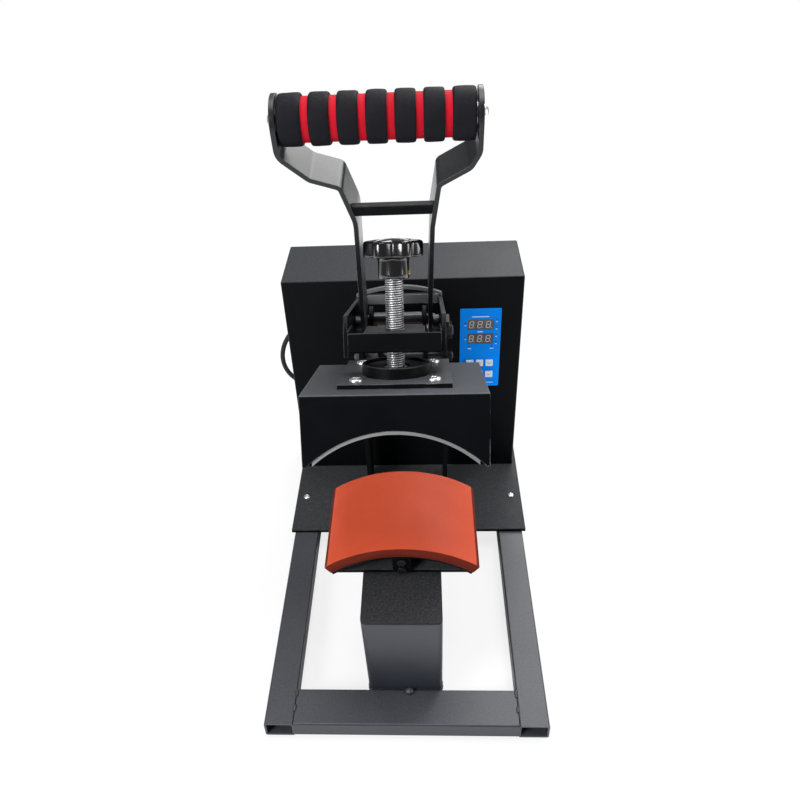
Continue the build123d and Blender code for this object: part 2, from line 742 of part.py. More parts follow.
bridge_v = -86.0
bridge_l = 14.0
bridge_t = 4.0
bridge_bow = 8.0
tie_h = 9.5
tie_lift = 2.5            # the tie stands this far above the arm plates
with BuildPart() as bridge:
    with BuildSketch(arm_face(bridge_v - bridge_l / 2)):
        with Locations((0, arm_high + tie_lift - tie_h / 2)):
            Rectangle(2 * arm_in, tie_h)
    extrude(amount=-bridge_l)
    with BuildSketch(arm_face(bridge_v - bridge_l / 2 + 1)):
        with BuildLine():
            low = arm_high
            high = low + bridge_t
            ThreePointArc((-arm_out, low), (0, low + bridge_bow), (arm_out, low))
            Line((arm_out, low), (arm_out, high))
            ThreePointArc((arm_out, high), (0, high + bridge_bow), (-arm_out, high))
            Line((-arm_out, high), (-arm_out, low))
        make_face()
    extrude(amount=-(bridge_l - 2))
save(bridge.part, "arm_bridge")

stud_head_t = 5.0
with BuildPart() as lever_studs:
    for side in (-1, 1):
        with BuildSketch(arm_side(side * arm_out)):
            with Locations((lever_v, lever_w)):
                RegularPolygon(7.5, 6)
        extrude(amount=side * stud_head_t)
        with BuildSketch(arm_side(side * arm_out)):
            with Locations((lever_v, lever_w)):
                Circle(pin_d / 2)
        extrude(amount=-side * (arm_out - bar_in))
        with BuildSketch(arm_side(side * (arm_in - gap))):
            with Locations((lever_v, lever_w)):
                Circle(7)
                Circle(pin_d / 2, mode=Mode.SUBTRACT)
        extrude(amount=-side * (arm_in - bar_in - bar_t - 2 * gap))
save(lever_studs.part, "lever_studs")

# ---------------------------------------------------------------- lever
crank_s = crank_r * sin(radians(crank_turn))
crank_t = crank_r * cos(radians(crank_turn))
grip_face = {-1: bar_reach + grip_shift, 1: bar_reach - grip_shift}
# the two bars are bent differently, which carries the grip to the left
bar_points = {
    -1: [(bar_in, -40), (bar_in, 30), (bar_in - 2, grip_t - 84), (bar_in + 8.5, grip_t - 48.5),
         (bar_in + 32.5, grip_t - 40), (grip_face[-1], grip_t - 20), (grip_face[-1], grip_t + 30)],
    1: [(bar_in, -40), (bar_in, 30), (bar_in + 2.5, grip_t - 90), (bar_in + 8, grip_t - 49),
        (bar_in + 33, grip_t - 34), (grip_face[1], grip_t - 22), (grip_face[1], grip_t + 30)],
}
for side, name in ((-1, "lever_bar_left"), (1, "lever_bar_right")):
    with BuildPart() as bar:
        with BuildSketch(lever_face(-40)):
            with BuildLine():
                FilletPolyline(*[(side * x, t) for x, t in bar_points[side]], radius=[40, 40, 8, 8, 12])
                offset(amount=bar_t, side=Side.RIGHT if side > 0 else Side.LEFT)
            make_face()
        extrude(amount=-100)
        with BuildSketch(lever_side(-100)):
            Circle(bar_foot_r)
            with Locations((crank_s, crank_t)):
                Circle(link_end_r)
            with Locations((0, grip_t)):
                Circle(bar_top_r)
            make_hull()
            Circle(pin_d / 2 + fit, mode=Mode.SUBTRACT)
            with Locations((crank_s, crank_t)):
                Circle(pin_d / 2, mode=Mode.SUBTRACT)
            with Locations((0, grip_t)):
                Circle(3 + fit, mode=Mode.SUBTRACT)
        extrude(amount=200, mode=Mode.INTERSECT)
    save(bar.part, name)

def inner_face(side, t):
    """X of a lever bar's inner face on its straight run above the second bend."""
    (x0, t0), (x1, t1) = bar_points[side][2:4]
    return side * (x0 + (x1 - x0) * (t - t0) / (t1 - t0))


brace_low, brace_high = brace_t - brace_h / 2, brace_t + brace_h / 2
with BuildPart() as brace:
    with BuildSketch(lever_face(-bar_foot_r - 3)):
        with BuildLine():
            Polyline((inner_face(-1, brace_low), brace_low), (inner_face(1, brace_low), brace_low),
                     (inner_face(1, brace_high), brace_high), (inner_face(-1, brace_high), brace_high), close=True)
        make_face()
    extrude(amount=-brace_l)
    fillet(brace.edges().filter_by(Axis.X), radius=1.5)
save(brace.part, "lever_brace")

with BuildPart() as grip_tube:
    with BuildSketch(lever_side(-grip_face[-1])):
        with Locations((0, grip_t)):
            Circle(grip_tube_d / 2)
            Circle(3 + fit, mode=Mode.SUBTRACT)
    extrude(amount=2 * bar_reach)
save(grip_tube.part, "grip_tube")

foam_left = -grip_shift - grip_l / 2
with BuildPart() as grip_core:
    with BuildSketch(lever_side(foam_left)):
        with Locations((0, grip_t)):
            Circle(grip_core_d / 2)
            Circle(grip_tube_d / 2 + fit, mode=Mode.SUBTRACT)
    extrude(amount=grip_l)
save(grip_core.part, "foam_core")

middle_ring = (grip_l - 2 * end_ring - (segments - 1) * ring_w) / (segments - 2)
with BuildPart() as foam:
    x0 = foam_left
    for i in range(segments):
        segment_l = end_ring if i in (0, segments - 1) else middle_ring
        with BuildSketch(lever_side(x0)):
            with Locations((0, grip_t)):
                Circle(grip_d / 2)
        extrude(amount=segment_l)
        x0 += segment_l + ring_w
    fillet(foam.edges().filter_by(GeomType.CIRCLE), radius=1.8)
    with BuildSketch(lever_side(foam_left)):
        with Locations((0, grip_t)):
            Circle(grip_core_d / 2 + seat)
    extrude(amount=grip_l, mode=Mode.SUBTRACT)
save(foam.part, "foam_rings")

grip_screw_head = 4.5
with BuildPart() as grip_screws:
    for side in (-1, 1):
        with BuildSketch(lever_side(side * (grip_face[side] + bar_t))):
            with Locations((0, grip_t)):
                Circle(6.5)
        extrude(amount=side * grip_screw_head, taper=15)
        with BuildSketch(lever_side(side * (grip_face[side] + bar_t))):
            with Locations((0, grip_t)):
                Circle(3)
        extrude(amount=-side * 25)
save(grip_screws.part, "grip_screws")

link_pin_half = bar_in + bar_t + 3
with BuildPart() as link_pin:
    with BuildSketch(lever_side(-link_pin_half)):
        with Locations((crank_s, crank_t)):
            Circle(pin_d / 2)
    extrude(amount=2 * link_pin_half)
    with BuildSketch(lever_side(-link_in + gap)):
        with Locations((crank_s, crank_t)):
            Circle(6)
    extrude(amount=2 * (link_in - gap))
save(link_pin.part, "link_pin")

# ---------------------------------------------------------------- toggle link
link_pin_y = lever_y + crank_s * lean_c - crank_t * lean_s
link_pin_z = lever_z + crank_s * lean_s + crank_t * lean_c
link_run = Vector(0, link_pin_y - pivot_y, link_pin_z - link_foot_z)
link_dir = link_run.normalized()
link_len = round(link_run.length, 1)      # between its pins, made to a tenth of a millimetre
with BuildPart() as links:
    for side in (-1, 1):
        with BuildSketch(Plane(origin=(side * link_in, pivot_y, link_foot_z),
                               x_dir=link_dir, z_dir=(1, 0, 0))):
            with Locations((link_len / 2, 0)):
                Rectangle(link_len, link_w)
            Circle(link_end_r)
            with Locations((link_len, 0)):
                Circle(link_end_r)
            Circle(pin_d / 2 + fit, mode=Mode.SUBTRACT)
            with Locations((link_len, 0)):
                Circle(link_eye_d / 2, mode=Mode.SUBTRACT)
        extrude(amount=side * link_t)
save(links.part, "toggle_links")

# ---------------------------------------------------------------- heated head
head_front = rod_v - head_l / 2
head_low = head_top - head_h
arch_half = head_w / 2 - head_wall - 1
arch_r = (arch_half ** 2 + arch_rise ** 2) / (2 * arch_rise)
arch_mid = head_low + arch_rise - arch_r
with BuildPart() as cover:
    with BuildSketch(arm_level(rod_v, head_low)):
        Rectangle(head_w, head_l)
    extrude(amount=head_h)
    top_face = cover.faces().filter_by(Plane(origin=(0, 0, 0), z_dir=(0, tilt_s, tilt_c))).sort_by(Axis.Z)[-1]
    fillet(top_face.edges(), radius=1.2)
    with BuildSketch(arm_level(rod_v, head_low)):
        Rectangle(head_w - 2 * head_wall, head_l - 2 * head_wall)
    extrude(amount=head_h - head_wall, mode=Mode.SUBTRACT)
    with BuildSketch(arm_face(head_front)):
        with Locations((0, arch_mid)):
            Circle(arch_r)
    extrude(amount=-head_l, mode=Mode.SUBTRACT)
    with BuildSketch(arm_level(rod_v, head_top)):
        with Locations(*[(sx * mount_screw_x, v - rod_v) for sx in (-1, 1) for v in mount_screw_v]):
            Circle(2.5 + fit)
    extrude(amount=-head_wall, mode=Mode.SUBTRACT)
save(cover.part, "head_cover")

heater_r = arch_r - heater_lip
heater_out_r = heater_r + heater_t
heater_l = head_l - 2 * head_wall - 2
heater_front = rod_v - heater_l / 2
half_heater = heater_w / 2
post_r = 5.0
with BuildPart() as heater:
    with BuildSketch(arm_face(heater_front)):
        with Locations((0, arch_mid)):
            Circle(heater_out_r)
            Circle(heater_r, mode=Mode.SUBTRACT)
        with Locations((0, arch_mid + heater_out_r)):
            Rectangle(heater_w, 2 * heater_out_r - 2 * sqrt(heater_r ** 2 - half_heater ** 2),
                      mode=Mode.INTERSECT)
    extrude(amount=-heater_l)
    with BuildSketch(arm_level(rod_v, head_top - head_wall)):
        with Locations(*[(sx * mount_screw_x, v - rod_v) for sx in (-1, 1) for v in mount_screw_v]):
            Circle(post_r)
    extrude(amount=-30)
    with BuildSketch(arm_face(heater_front)):
        with Locations((0, arch_mid)):
            Circle(heater_r)
    extrude(amount=-heater_l, mode=Mode.SUBTRACT)
    with BuildSketch(arm_level(rod_v, head_top - head_wall)):
        with Locations(*[(sx * mount_screw_x, v - rod_v) for sx in (-1, 1) for v in mount_screw_v]):
            Circle(2.5 + fit)
    extrude(amount=-14, mode=Mode.SUBTRACT)
save(heater.part, "heater_platen")

wool_l = heater_l
with BuildPart() as wool:
    with BuildSketch(arm_face(heater_front)):
        with Locations((0, (head_top - head_wall + head_low) / 2)):
            Rectangle(heater_w, head_h - head_wall)
        with Locations((0, arch_mid)):
            Circle(heater_out_r + seat, mode=Mode.SUBTRACT)
    extrude(amount=-wool_l)
    with BuildSketch(arm_level(rod_v, head_top - head_wall)):
        with Locations(*[(sx * mount_screw_x, v - rod_v) for sx in (-1, 1) for v in mount_screw_v]):
            Circle(post_r + seat)
    extrude(amount=-40, mode=Mode.SUBTRACT)
save(wool.part, "head_insulation")

mount_mid = (mount_screw_v[0] + mount_screw_v[1]) / 2 - rod_v
with BuildPart() as mount:
    with BuildSketch(arm_level(rod_v, head_top)):
        with Locations((0, mount_mid)):
            Rectangle(mount_w, mount_l)
        with Locations(*[(sx * mount_screw_x, v - rod_v) for sx in (-1, 1) for v in mount_screw_v]):
            Circle(2.5 + fit, mode=Mode.SUBTRACT)
    extrude(amount=mount_t)
save(mount.part, "mount_plate")

cup_low = head_top + mount_t
with BuildPart() as cup:
    with BuildSketch(arm_level(rod_v, cup_low)):
        Circle(cup_d / 2)
    extrude(amount=cup_h)
    fillet(cup.edges().group_by(Axis.Z)[-1], radius=0.8)
    with BuildSketch(arm_level(rod_v, cup_low + cup_floor)):
        Circle(collar_d / 2 + fit)
    extrude(amount=cup_h, mode=Mode.SUBTRACT)
    with BuildSketch(arm_level(rod_v, cup_low + cup_h - 3)):
        Circle(cup_d / 2 - cup_wall)
    extrude(amount=cup_h, mode=Mode.SUBTRACT)
save(cup.part, "swivel_cup")

mount_screw_head = 3.0
mount_screw_head_r = 5.7
with BuildPart() as mount_screws:
    with BuildSketch(arm_level(rod_v, head_top + mount_t)):
        with Locations(*[(sx * mount_screw_x, v - rod_v) for sx in (-1, 1) for v in mount_screw_v]):
            Circle(mount_screw_head_r)
    extrude(amount=mount_screw_head, taper=20)
    with BuildSketch(arm_level(rod_v, head_top + mount_t)):
        with Locations(*[(sx * mount_screw_x, v - rod_v) for sx in (-1, 1) for v in mount_screw_v]):
            Circle(2.5)
    extrude(amount=-(mount_t + head_wall + 10))
save(mount_screws.part, "mount_screws")

# ---------------------------------------------------------------- pressure screw and star knob
collar_t = 3.5
with BuildPart() as rod:
    with BuildSketch(arm_level(rod_v, cup_low + cup_floor + fit)):
        Circle(collar_d / 2)
    extrude(amount=collar_t)
    with BuildSketch(arm_level(rod_v, cup_low + cup_floor + fit)):
        Circle(rod_d / 2)
    extrude(amount=hub_low + 10 - (cup_low + cup_floor + fit))
save(rod.part, "pressure_screw")

lobe_r = knob_d * 0.15
with BuildPart() as knob:
    with BuildSketch(arm_level(rod_v, knob_low)):
        Circle(knob_d / 2 - lobe_r * 0.9)
        with PolarLocations(knob_d / 2 - lobe_r, knob_lobes):
            Circle(lobe_r)
    extrude(amount=knob_high - knob_low)
    with BuildSketch(arm_level(rod_v, knob_high)):
        Circle(knob_d / 2 - 2 * lobe_r)
    extrude(amount=knob_dome, taper=50)
    with BuildSketch(arm_level(rod_v, hub_low)):
        Circle(hub_d / 2)
    extrude(amount=knob_low - hub_low)
    with BuildSketch(arm_level(rod_v, hub_low)):
        Circle(rod_d / 2 + seat)
    extrude(amount=10, mode=Mode.SUBTRACT)
    with BuildSketch(Plane(origin=(hub_d / 2 + 1, *along_arm(rod_v, hub_low + 5)),
                           x_dir=(0, tilt_c, -tilt_s), z_dir=(1, 0, 0))):
        Circle(3.2 + seat)
    extrude(amount=-(hub_d / 2 + 1 - rod_d / 2 + 2), mode=Mode.SUBTRACT)
save(knob.part, "star_knob")

with BuildPart() as grub:
    with BuildSketch(Plane(origin=(hub_d / 2 + 1, *along_arm(rod_v, hub_low + 5)),
                           x_dir=(0, tilt_c, -tilt_s), z_dir=(1, 0, 0))):
        Circle(3.2)
    extrude(amount=-(hub_d / 2 + 1 - rod_d / 2 - seat))
    with BuildSketch(Plane(origin=(hub_d / 2 + 1, *along_arm(rod_v, hub_low + 5)),
                           x_dir=(0, tilt_c, -tilt_s), z_dir=(1, 0, 0))):
        RegularPolygon(1.6, 6)
    extrude(amount=-2, mode=Mode.SUBTRACT)
save(grub.part, "knob_grub_screw")

# ---------------------------------------------------------------- power cord, coil, tie and plug
tie_t = 0.8
tie_gap = 0.15
floor_z = cord_d / 2 + tie_gap + tie_t + 0.05
coil_start = (coil_x, coil_y - coil_r)
cord_points = [
    (gland_x, box_rear + gland_l, gland_z),
    (-112, 284, 176),
    (-124, 304, 173),
    (-146, 312, 165),
    (-168, 307, 150),
    (-183, 301, 129),
    (-188, 298, 104),
    (-182, 298, 80),
    (-167, 302, 60),
    (-148, 309, 43),
    (-127, 315, 28),
    (-105, 317, 15),
    (-82, 313, 6),
    (-58, 305, floor_z),
    (-34, 297, floor_z),
    (-11, coil_start[1], floor_z),
    (coil_x - cord_d, coil_start[1], floor_z),
]


def turn(before, here, after):
    """Angle in degrees that a route turns by at a point, and the two runs beside it."""
    a = Vector(*here) - Vector(*before)
    b = Vector(*after) - Vector(*here)
    return a.get_angle(b), a.length, b.length


cord_radii = []
for before, here, after in zip(cord_points, cord_points[1:], cord_points[2:]):
    angle, run_a, run_b = turn(before, here, after)
    cord_radii.append(0.45 * min(run_a, run_b) / tan(radians(angle / 2)))
print("cord radii, mm:", [round(r) for r in cord_radii])

with BuildPart() as cord:
    with BuildLine() as cord_path:
        FilletPolyline(*cord_points, radius=cord_radii)
    with BuildSketch(Plane(origin=cord_points[0], z_dir=(0, 1, 0))):
        Circle(cord_d / 2)
    sweep(path=cord_path.wires()[0])
cord_length = cord_path.wires()[0].length
print("cord tube: length %.1f mm, volume %.0f against %.0f mm3" % (
    cord_length, cord.part.volume, cord_length * pi * cord_d ** 2 / 4))
save(cord.part, "power_cord")


def biarc(a, ta, b, tb):
    """Two arcs from a to b that leave along ta and arrive along tb."""
    v = b - a
    t = ta + tb
    k = 2 * (1 - ta.dot(tb))
    d = (-(v.dot(t)) + sqrt(v.dot(t) ** 2 + k * v.dot(v))) / k
    mid = (a + b + (ta - tb) * d) * 0.5
    mid_dir = ((b - tb * d) - (a + ta * d)).normalized()
    return [TangentArc(a, mid, tangent=ta), TangentArc(mid, b, tangent=mid_dir)]


def coil_route():
    """Half circles that spiral in along the table, climb one layer and spiral out again."""
    edges = [Line((coil_x - cord_d, coil_start[1], floor_z), (coil_x, coil_start[1], floor_z))]
    y = coil_start[1]
    z = floor_z
    radius = coil_r
    heading = 1
    for _ in range(half_turns):
        a = Vector(coil_x, y, z)
        y += heading * 2 * radius
        b = Vector(coil_x, y, z)
        edges += biarc(a, Vector(heading, 0, 0), b, Vector(-heading, 0, 0))
        heading = -heading
        radius -= coil_pitch / 2
    a = Vector(coil_x, y, z)
    y += heading * 2 * radius
    z += coil_rise
    edges += biarc(a, Vector(heading, 0, 0), Vector(coil_x, y, z), Vector(-heading, 0, 0))
    heading = -heading
    for _ in range(half_turns):
        radius += coil_pitch / 2
        a = Vector(coil_x, y, z)
        y += heading * 2 * radius
        edges += biarc(a, Vector(heading, 0, 0), Vector(coil_x, y, z), Vector(-heading, 0, 0))
        heading = -heading
    edges.append(Line((coil_x, y, z), (coil_x + heading * cord_d, y, z)))
    return edges, (coil_x + heading * cord_d, y, z), heading


coil_edges, coil_end, coil_heading = coil_route()
coil_rise_y = coil_pitch  # the upper layer's right-hand turns sit this far behind the lower layer's
tie_y = coil_y + coil_rise_y / 2
coil_wire = Wire(coil_edges)
samples = [coil_wire.position_at(i / 600) for i in range(601)]
step = coil_wire.length / 600
apart = int(3 * cord_d / step)
least = min((samples[i] - samples[j]).length for i in range(601) for j in range(i + apart, 601))
print("coil: length %.1f mm, least gap to itself %.2f mm" % (coil_wire.length, least - cord_d))
with BuildPart() as coil:
    with BuildSketch(Plane(origin=(coil_x - cord_d, coil_start[1], floor_z), z_dir=(1, 0, 0))):
        Circle(cord_d / 2)
    sweep(path=coil_wire)
print("coil volume %.0f against %.0f mm3" % (coil.part.volume, coil_wire.length * pi * cord_d ** 2 / 4))
save(coil.part, "cord_coil")
print("whole cord %.0f mm" % (cord_length + coil_wire.length))

# the tie goes round the right-hand side of the coil, where the turns of both layers lie in rows
right_out = sqrt(coil_r ** 2 - (coil_rise_y / 2) ** 2) + cord_d / 2
right_in = sqrt((coil_r - 2 * coil_pitch) ** 2 - (coil_rise_y / 2) ** 2) - cord_d / 2
tie_low = floor_z - cord_d / 2 - tie_gap
tie_high = floor_z + coil_rise + cord_d / 2 + tie_gap
tie_mid = (coil_x + (right_in + right_out) / 2, (tie_low + tie_high) / 2)
tie_w = right_out - right_in + 1.2
with BuildPart() as tie:
    with BuildSketch(Plane.XZ.offset(-(tie_y - 3))):
        with Locations(tie_mid):
            RectangleRounded(tie_w + 2 * tie_t, tie_high - tie_low + 2 * tie_t, 2.4)
            RectangleRounded(tie_w, tie_high - tie_low, 1.6, mode=Mode.SUBTRACT)
    extrude(amount=-6)
    with BuildSketch(Plane.XZ.offset(-(tie_y - 4))):
        with Locations((tie_mid[0] + 4, tie_high + tie_t + 1.6)):
            Rectangle(6, 3.6)
    extrude(amount=-8)
save(tie.part, "cord_tie")

sleeve_l = 20.0
plug_l = 34.0
plug_w = 24.0
plug_h = 21.0
pin_z = coil_end[2] + 2.5
plug_face = coil_end[0] - sleeve_l - plug_l
with BuildPart() as plug:
    with BuildSketch(Plane(origin=coil_end, x_dir=(0, -1, 0), z_dir=(-1, 0, 0))):
        Circle(4.4)
    with BuildSketch(Plane(origin=(coil_end[0] - sleeve_l, coil_end[1], coil_end[2]),
                           x_dir=(0, -1, 0), z_dir=(-1, 0, 0))):
        Circle(6.0)
    loft()
    with BuildSketch(Plane(origin=(coil_end[0] - sleeve_l, coil_end[1], coil_end[2]),
                           x_dir=(0, -1, 0), z_dir=(-1, 0, 0))):
        RectangleRounded(plug_w, plug_h, 8)
    extrude(amount=plug_l)
    with BuildSketch(Plane(origin=(plug_face, coil_end[1], pin_z), x_dir=(0, -1, 0), z_dir=(-1, 0, 0))):
        with Locations((-6.35, 0), (6.35, 0)):
            Rectangle(1.5, 6.3)
        with Locations((0, -9)):
            Circle(2.4)
    extrude(amount=17)
save(plug.part, "power_plug")
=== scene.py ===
# %% [markdown]
# # A cap heat press, dressed for a product picture
# The metalwork of this press is already exact: it was drawn as solid parts and packed as a frame of named nodes.
# This lesson puts a finish on every one of those nodes and adds what a solid modeller leaves out, such as threads,
# cross slots, welds, foam, rubber and display segments.
# First we load the frame. Nothing we add may make the press bigger.

# %% Load the frame
import bpy, bmesh
from math import cos, sin, pi, radians, sqrt
from mathutils import Matrix, Vector, noise


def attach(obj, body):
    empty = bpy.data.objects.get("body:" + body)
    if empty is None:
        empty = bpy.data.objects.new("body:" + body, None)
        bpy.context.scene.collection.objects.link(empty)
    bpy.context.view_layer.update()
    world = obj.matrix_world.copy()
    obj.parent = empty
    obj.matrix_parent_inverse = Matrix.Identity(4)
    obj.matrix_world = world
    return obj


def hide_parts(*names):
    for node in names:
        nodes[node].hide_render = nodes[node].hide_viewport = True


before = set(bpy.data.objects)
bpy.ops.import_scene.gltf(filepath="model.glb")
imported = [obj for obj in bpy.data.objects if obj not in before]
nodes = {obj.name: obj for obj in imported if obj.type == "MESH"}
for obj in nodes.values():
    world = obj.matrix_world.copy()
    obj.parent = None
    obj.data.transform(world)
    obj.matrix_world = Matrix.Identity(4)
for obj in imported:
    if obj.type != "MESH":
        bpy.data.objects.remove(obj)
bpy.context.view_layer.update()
scene = bpy.context.scene

# %% [markdown]
# ## The camera
# The picture was taken from above the operator's head, looking down about 37 degrees, a little from the right.
# The camera was solved from the corners of the base frame, the deck and the control box, so we only write it down:
# a place, three angles and a lens. A small shift puts the lens axis where it was in the frame.

# %% Camera
picture_px, film_mm, focal_px = 800, 36, 782.69
axis_x_px, axis_y_px = 377.89, 395.2
camera_angles, camera_place = (4.456, 37.056, -3.652), (0.02661, -0.65976, 0.75958)


def camera_axes(yaw, pitch, roll):
    """Right, up and back vectors of a camera turned by these angles, in degrees."""
    y, p, r = radians(yaw), radians(pitch), radians(roll)
    ahead = Vector((-sin(y) * cos(p), cos(y) * cos(p), -sin(p)))
    right = Vector((cos(y), sin(y), 0))
    up = right.cross(ahead)
    return right * cos(r) + up * sin(r), up * cos(r) - right * sin(r), -ahead


camera = bpy.data.objects.new("camera", bpy.data.cameras.new("camera"))
scene.collection.objects.link(camera)
camera_turn = Matrix(camera_axes(*camera_angles)).transposed().to_4x4()
camera.matrix_world = Matrix.Translation(camera_place) @ camera_turn
camera.data.sensor_width = film_mm
camera.data.lens = film_mm * focal_px / picture_px
camera.data.shift_x = (picture_px / 2 - axis_x_px) / picture_px
camera.data.shift_y = (axis_y_px - picture_px / 2) / picture_px
camera.data.clip_start = 0.02
scene.camera = camera
print("lens %.1f mm" % camera.data.lens)

# %% [markdown]
# ## Node groups that several finishes share
# Paint, metal and plastic look real when something small goes on all over them. Each such effect is one shader
# node group with named inputs, so that every material can use it at its own size and strength.
# Groups only put out masks and heights; the shader itself stays in each material.

# %% Start a node group
def new_group(name, inputs, outputs):
    """A shader node group with these sockets, and its input and output nodes."""
    group = bpy.data.node_groups.new(name, "ShaderNodeTree")
    for label, value in inputs:
        socket = group.interface.new_socket(label, in_out="INPUT", socket_type="NodeSocketFloat")
        socket.default_value = value
    for label in outputs:
        group.interface.new_socket(label, in_out="OUTPUT", socket_type="NodeSocketFloat")
    return group, group.nodes.new("NodeGroupInput"), group.nodes.new("NodeGroupOutput")


def put(tree, kind, **values):
    """A node with its properties and inputs set: an input has a capital letter, and can be given a socket."""
    node = tree.nodes.new(kind)
    for key, value in values.items():
        if not key[0].isupper():
            setattr(node, key, value)
        elif isinstance(value, bpy.types.NodeSocket):
            tree.links.new(value, node.inputs[key])
        else:
            node.inputs[key].default_value = value
    return node


def math_node(tree, operation, a, b, clamp=False):
    """A Math node whose inputs are numbers or sockets."""
    node = tree.nodes.new("ShaderNodeMath")
    node.operation = operation
    node.use_clamp = clamp
    for i, value in enumerate((a, b)):
        if isinstance(value, (int, float)):
            node.inputs[i].default_value = value
        else:
            tree.links.new(value, node.inputs[i])
    return node.outputs[0]


def mask_above(tree, value, start, gain):
    """A mask that is 0 up to the start and rises from there by the gain, as far as 1."""
    return math_node(tree, "MULTIPLY", math_node(tree, "SUBTRACT", value, start), gain, clamp=True)


# %% [markdown]
# ### Powder-coat grain
# Powder coat is sprayed dry and baked, so it keeps a fine orange-peel skin. Two layers of noise make it: one about a
# millimetre across and one much finer. The same group with a larger scale makes cast or moulded grain.

# %% Grain group
def make_grain():
    group, ins, outs = new_group("fine_grain", [("Scale", 900.0), ("Mix", 0.5)], ["Height", "Speck"])
    link = group.links.new
    place, scale = put(group, "ShaderNodeTexCoord").outputs["Object"], ins.outputs["Scale"]
    finer = math_node(group, "MULTIPLY", scale, 2.7)
    coarse = put(group, "ShaderNodeTexNoise", Vector=place, Scale=scale, Detail=2.0, Roughness=0.5)
    fine = put(group, "ShaderNodeTexNoise", Vector=place, Scale=finer, Detail=3.0, Roughness=0.6)
    fine_part = math_node(group, "MULTIPLY", fine.outputs["Fac"], ins.outputs["Mix"])
    link(math_node(group, "ADD", coarse.outputs["Fac"], fine_part), outs.inputs["Height"])
    link(mask_above(group, fine.outputs["Fac"], 0.62, 9.0), outs.inputs["Speck"])
    return group


grain_group = make_grain()

# %% [markdown]
# ### Worn edges
# Paint wears first where a hand or a sleeve rubs an edge. The Bevel node rounds the normal near edges, so where it
# differs from the true normal there is an edge; noise breaks that line up so that it isn't drawn with a ruler.

# %% Edge wear group
def make_edge_wear():
    group, ins, outs = new_group("edge_wear", [("Reach", 0.0006), ("Amount", 1.0), ("Patches", 60.0)], ["Mask"])
    link = group.links.new
    rounded = put(group, "ShaderNodeBevel", samples=4, Radius=ins.outputs["Reach"])
    geometry = put(group, "ShaderNodeNewGeometry")
    dot = put(group, "ShaderNodeVectorMath", operation="DOT_PRODUCT")
    link(rounded.outputs["Normal"], dot.inputs[0])
    link(geometry.outputs["Normal"], dot.inputs[1])
    edge = math_node(group, "SUBTRACT", 1.0, dot.outputs["Value"])
    edge = math_node(group, "MULTIPLY", edge, 7.0, clamp=True)
    place = put(group, "ShaderNodeTexCoord").outputs["Object"]
    patch = put(group, "ShaderNodeTexNoise", Vector=place, Scale=ins.outputs["Patches"], Detail=5.0, Roughness=0.65)
    worn = math_node(group, "MULTIPLY", edge, mask_above(group, patch.outputs["Fac"], 0.46, 6.0))
    link(math_node(group, "MULTIPLY", worn, ins.outputs["Amount"], clamp=True), outs.inputs["Mask"])
    return group


wear_group = make_edge_wear()

# %% [markdown]
# ### Smudges, settled dust and what faces up
# Fingers leave wide soft patches that change how glossy a panel is, and dust settles on what faces up.
# One group gives masks for the patches, for the dust and for what faces up; the coats use the last for a painted
# sheen.

# %% Smudge group
def make_smudges():
    group, ins, outs = new_group("smudges", [("Scale", 14.0), ("Dust", 0.3)], ["Patch", "Dust", "Up"])
    link = group.links.new
    place = put(group, "ShaderNodeTexCoord").outputs["Object"]
    slow = put(group, "ShaderNodeTexNoise", Vector=place, Scale=ins.outputs["Scale"], Detail=4.0, Roughness=0.55,
               Distortion=0.6)
    link(mask_above(group, slow.outputs["Fac"], 0.35, 2.2), outs.inputs["Patch"])
    geometry = put(group, "ShaderNodeNewGeometry")
    part = put(group, "ShaderNodeSeparateXYZ", Vector=geometry.outputs["Normal"])
    facing_up = mask_above(group, part.outputs["Z"], 0.55, 2.2)
    link(facing_up, outs.inputs["Up"])
    mote = put(group, "ShaderNodeTexNoise", Vector=place, Scale=420.0, Detail=6.0, Roughness=0.7)
    dust = math_node(group, "MULTIPLY", facing_up, mask_above(group, mote.outputs["Fac"], 0.42, 3.0))
    link(math_node(group, "MULTIPLY", dust, ins.outputs["Dust"], clamp=True), outs.inputs["Dust"])
    return group


smudge_group = make_smudges()
print(len(bpy.data.node_groups), "node groups made")

# %% [markdown]
# ## Finishes
# A finish here is a Principled shader with its plain values set on the shader itself, and the shared groups layered
# over its colour, roughness and bump. The helpers below make the shader and lay one colour over another.

# %% Material helpers
def plain(name, color, roughness, metallic=0.0, **more):
    """A material, its node tree and its Principled shader, with plain values on the shader's sockets."""
    material = bpy.data.materials.new(name)
    material.use_nodes = True
    bsdf = material.node_tree.nodes["Principled BSDF"]
    bsdf.inputs["Base Color"].default_value = (*color, 1)
    bsdf.inputs["Roughness"].default_value = roughness
    bsdf.inputs["Metallic"].default_value = metallic
    for key, value in more.items():
        bsdf.inputs[key.replace("_", " ")].default_value = value
    return material, material.node_tree, bsdf


def use(tree, group, **values):
    """The group as a node in this material."""
    return put(tree, "ShaderNodeGroup", node_tree=group, **values)


def lay_over(tree, below, above, mask, share=1.0):
    """Colour above over colour below where the mask is white: each is a colour or a socket."""
    mix = put(tree, "ShaderNodeMix", data_type="RGBA", Factor=math_node(tree, "MULTIPLY", mask, share, clamp=True))
    for slot_name, value in (("A", below), ("B", above)):
        socket = [s for s in mix.inputs if s.name == slot_name and s.type == "RGBA"][0]
        if isinstance(value, tuple):
            socket.default_value = (*value, 1)
        else:
            tree.links.new(value, socket)
    return [s for s in mix.outputs if s.type == "RGBA"][0]


def vary(tree, start, mask, change):
    """A number that goes from start to start + change as the mask goes from 0 to 1."""
    return math_node(tree, "ADD", math_node(tree, "MULTIPLY", mask, change), start)


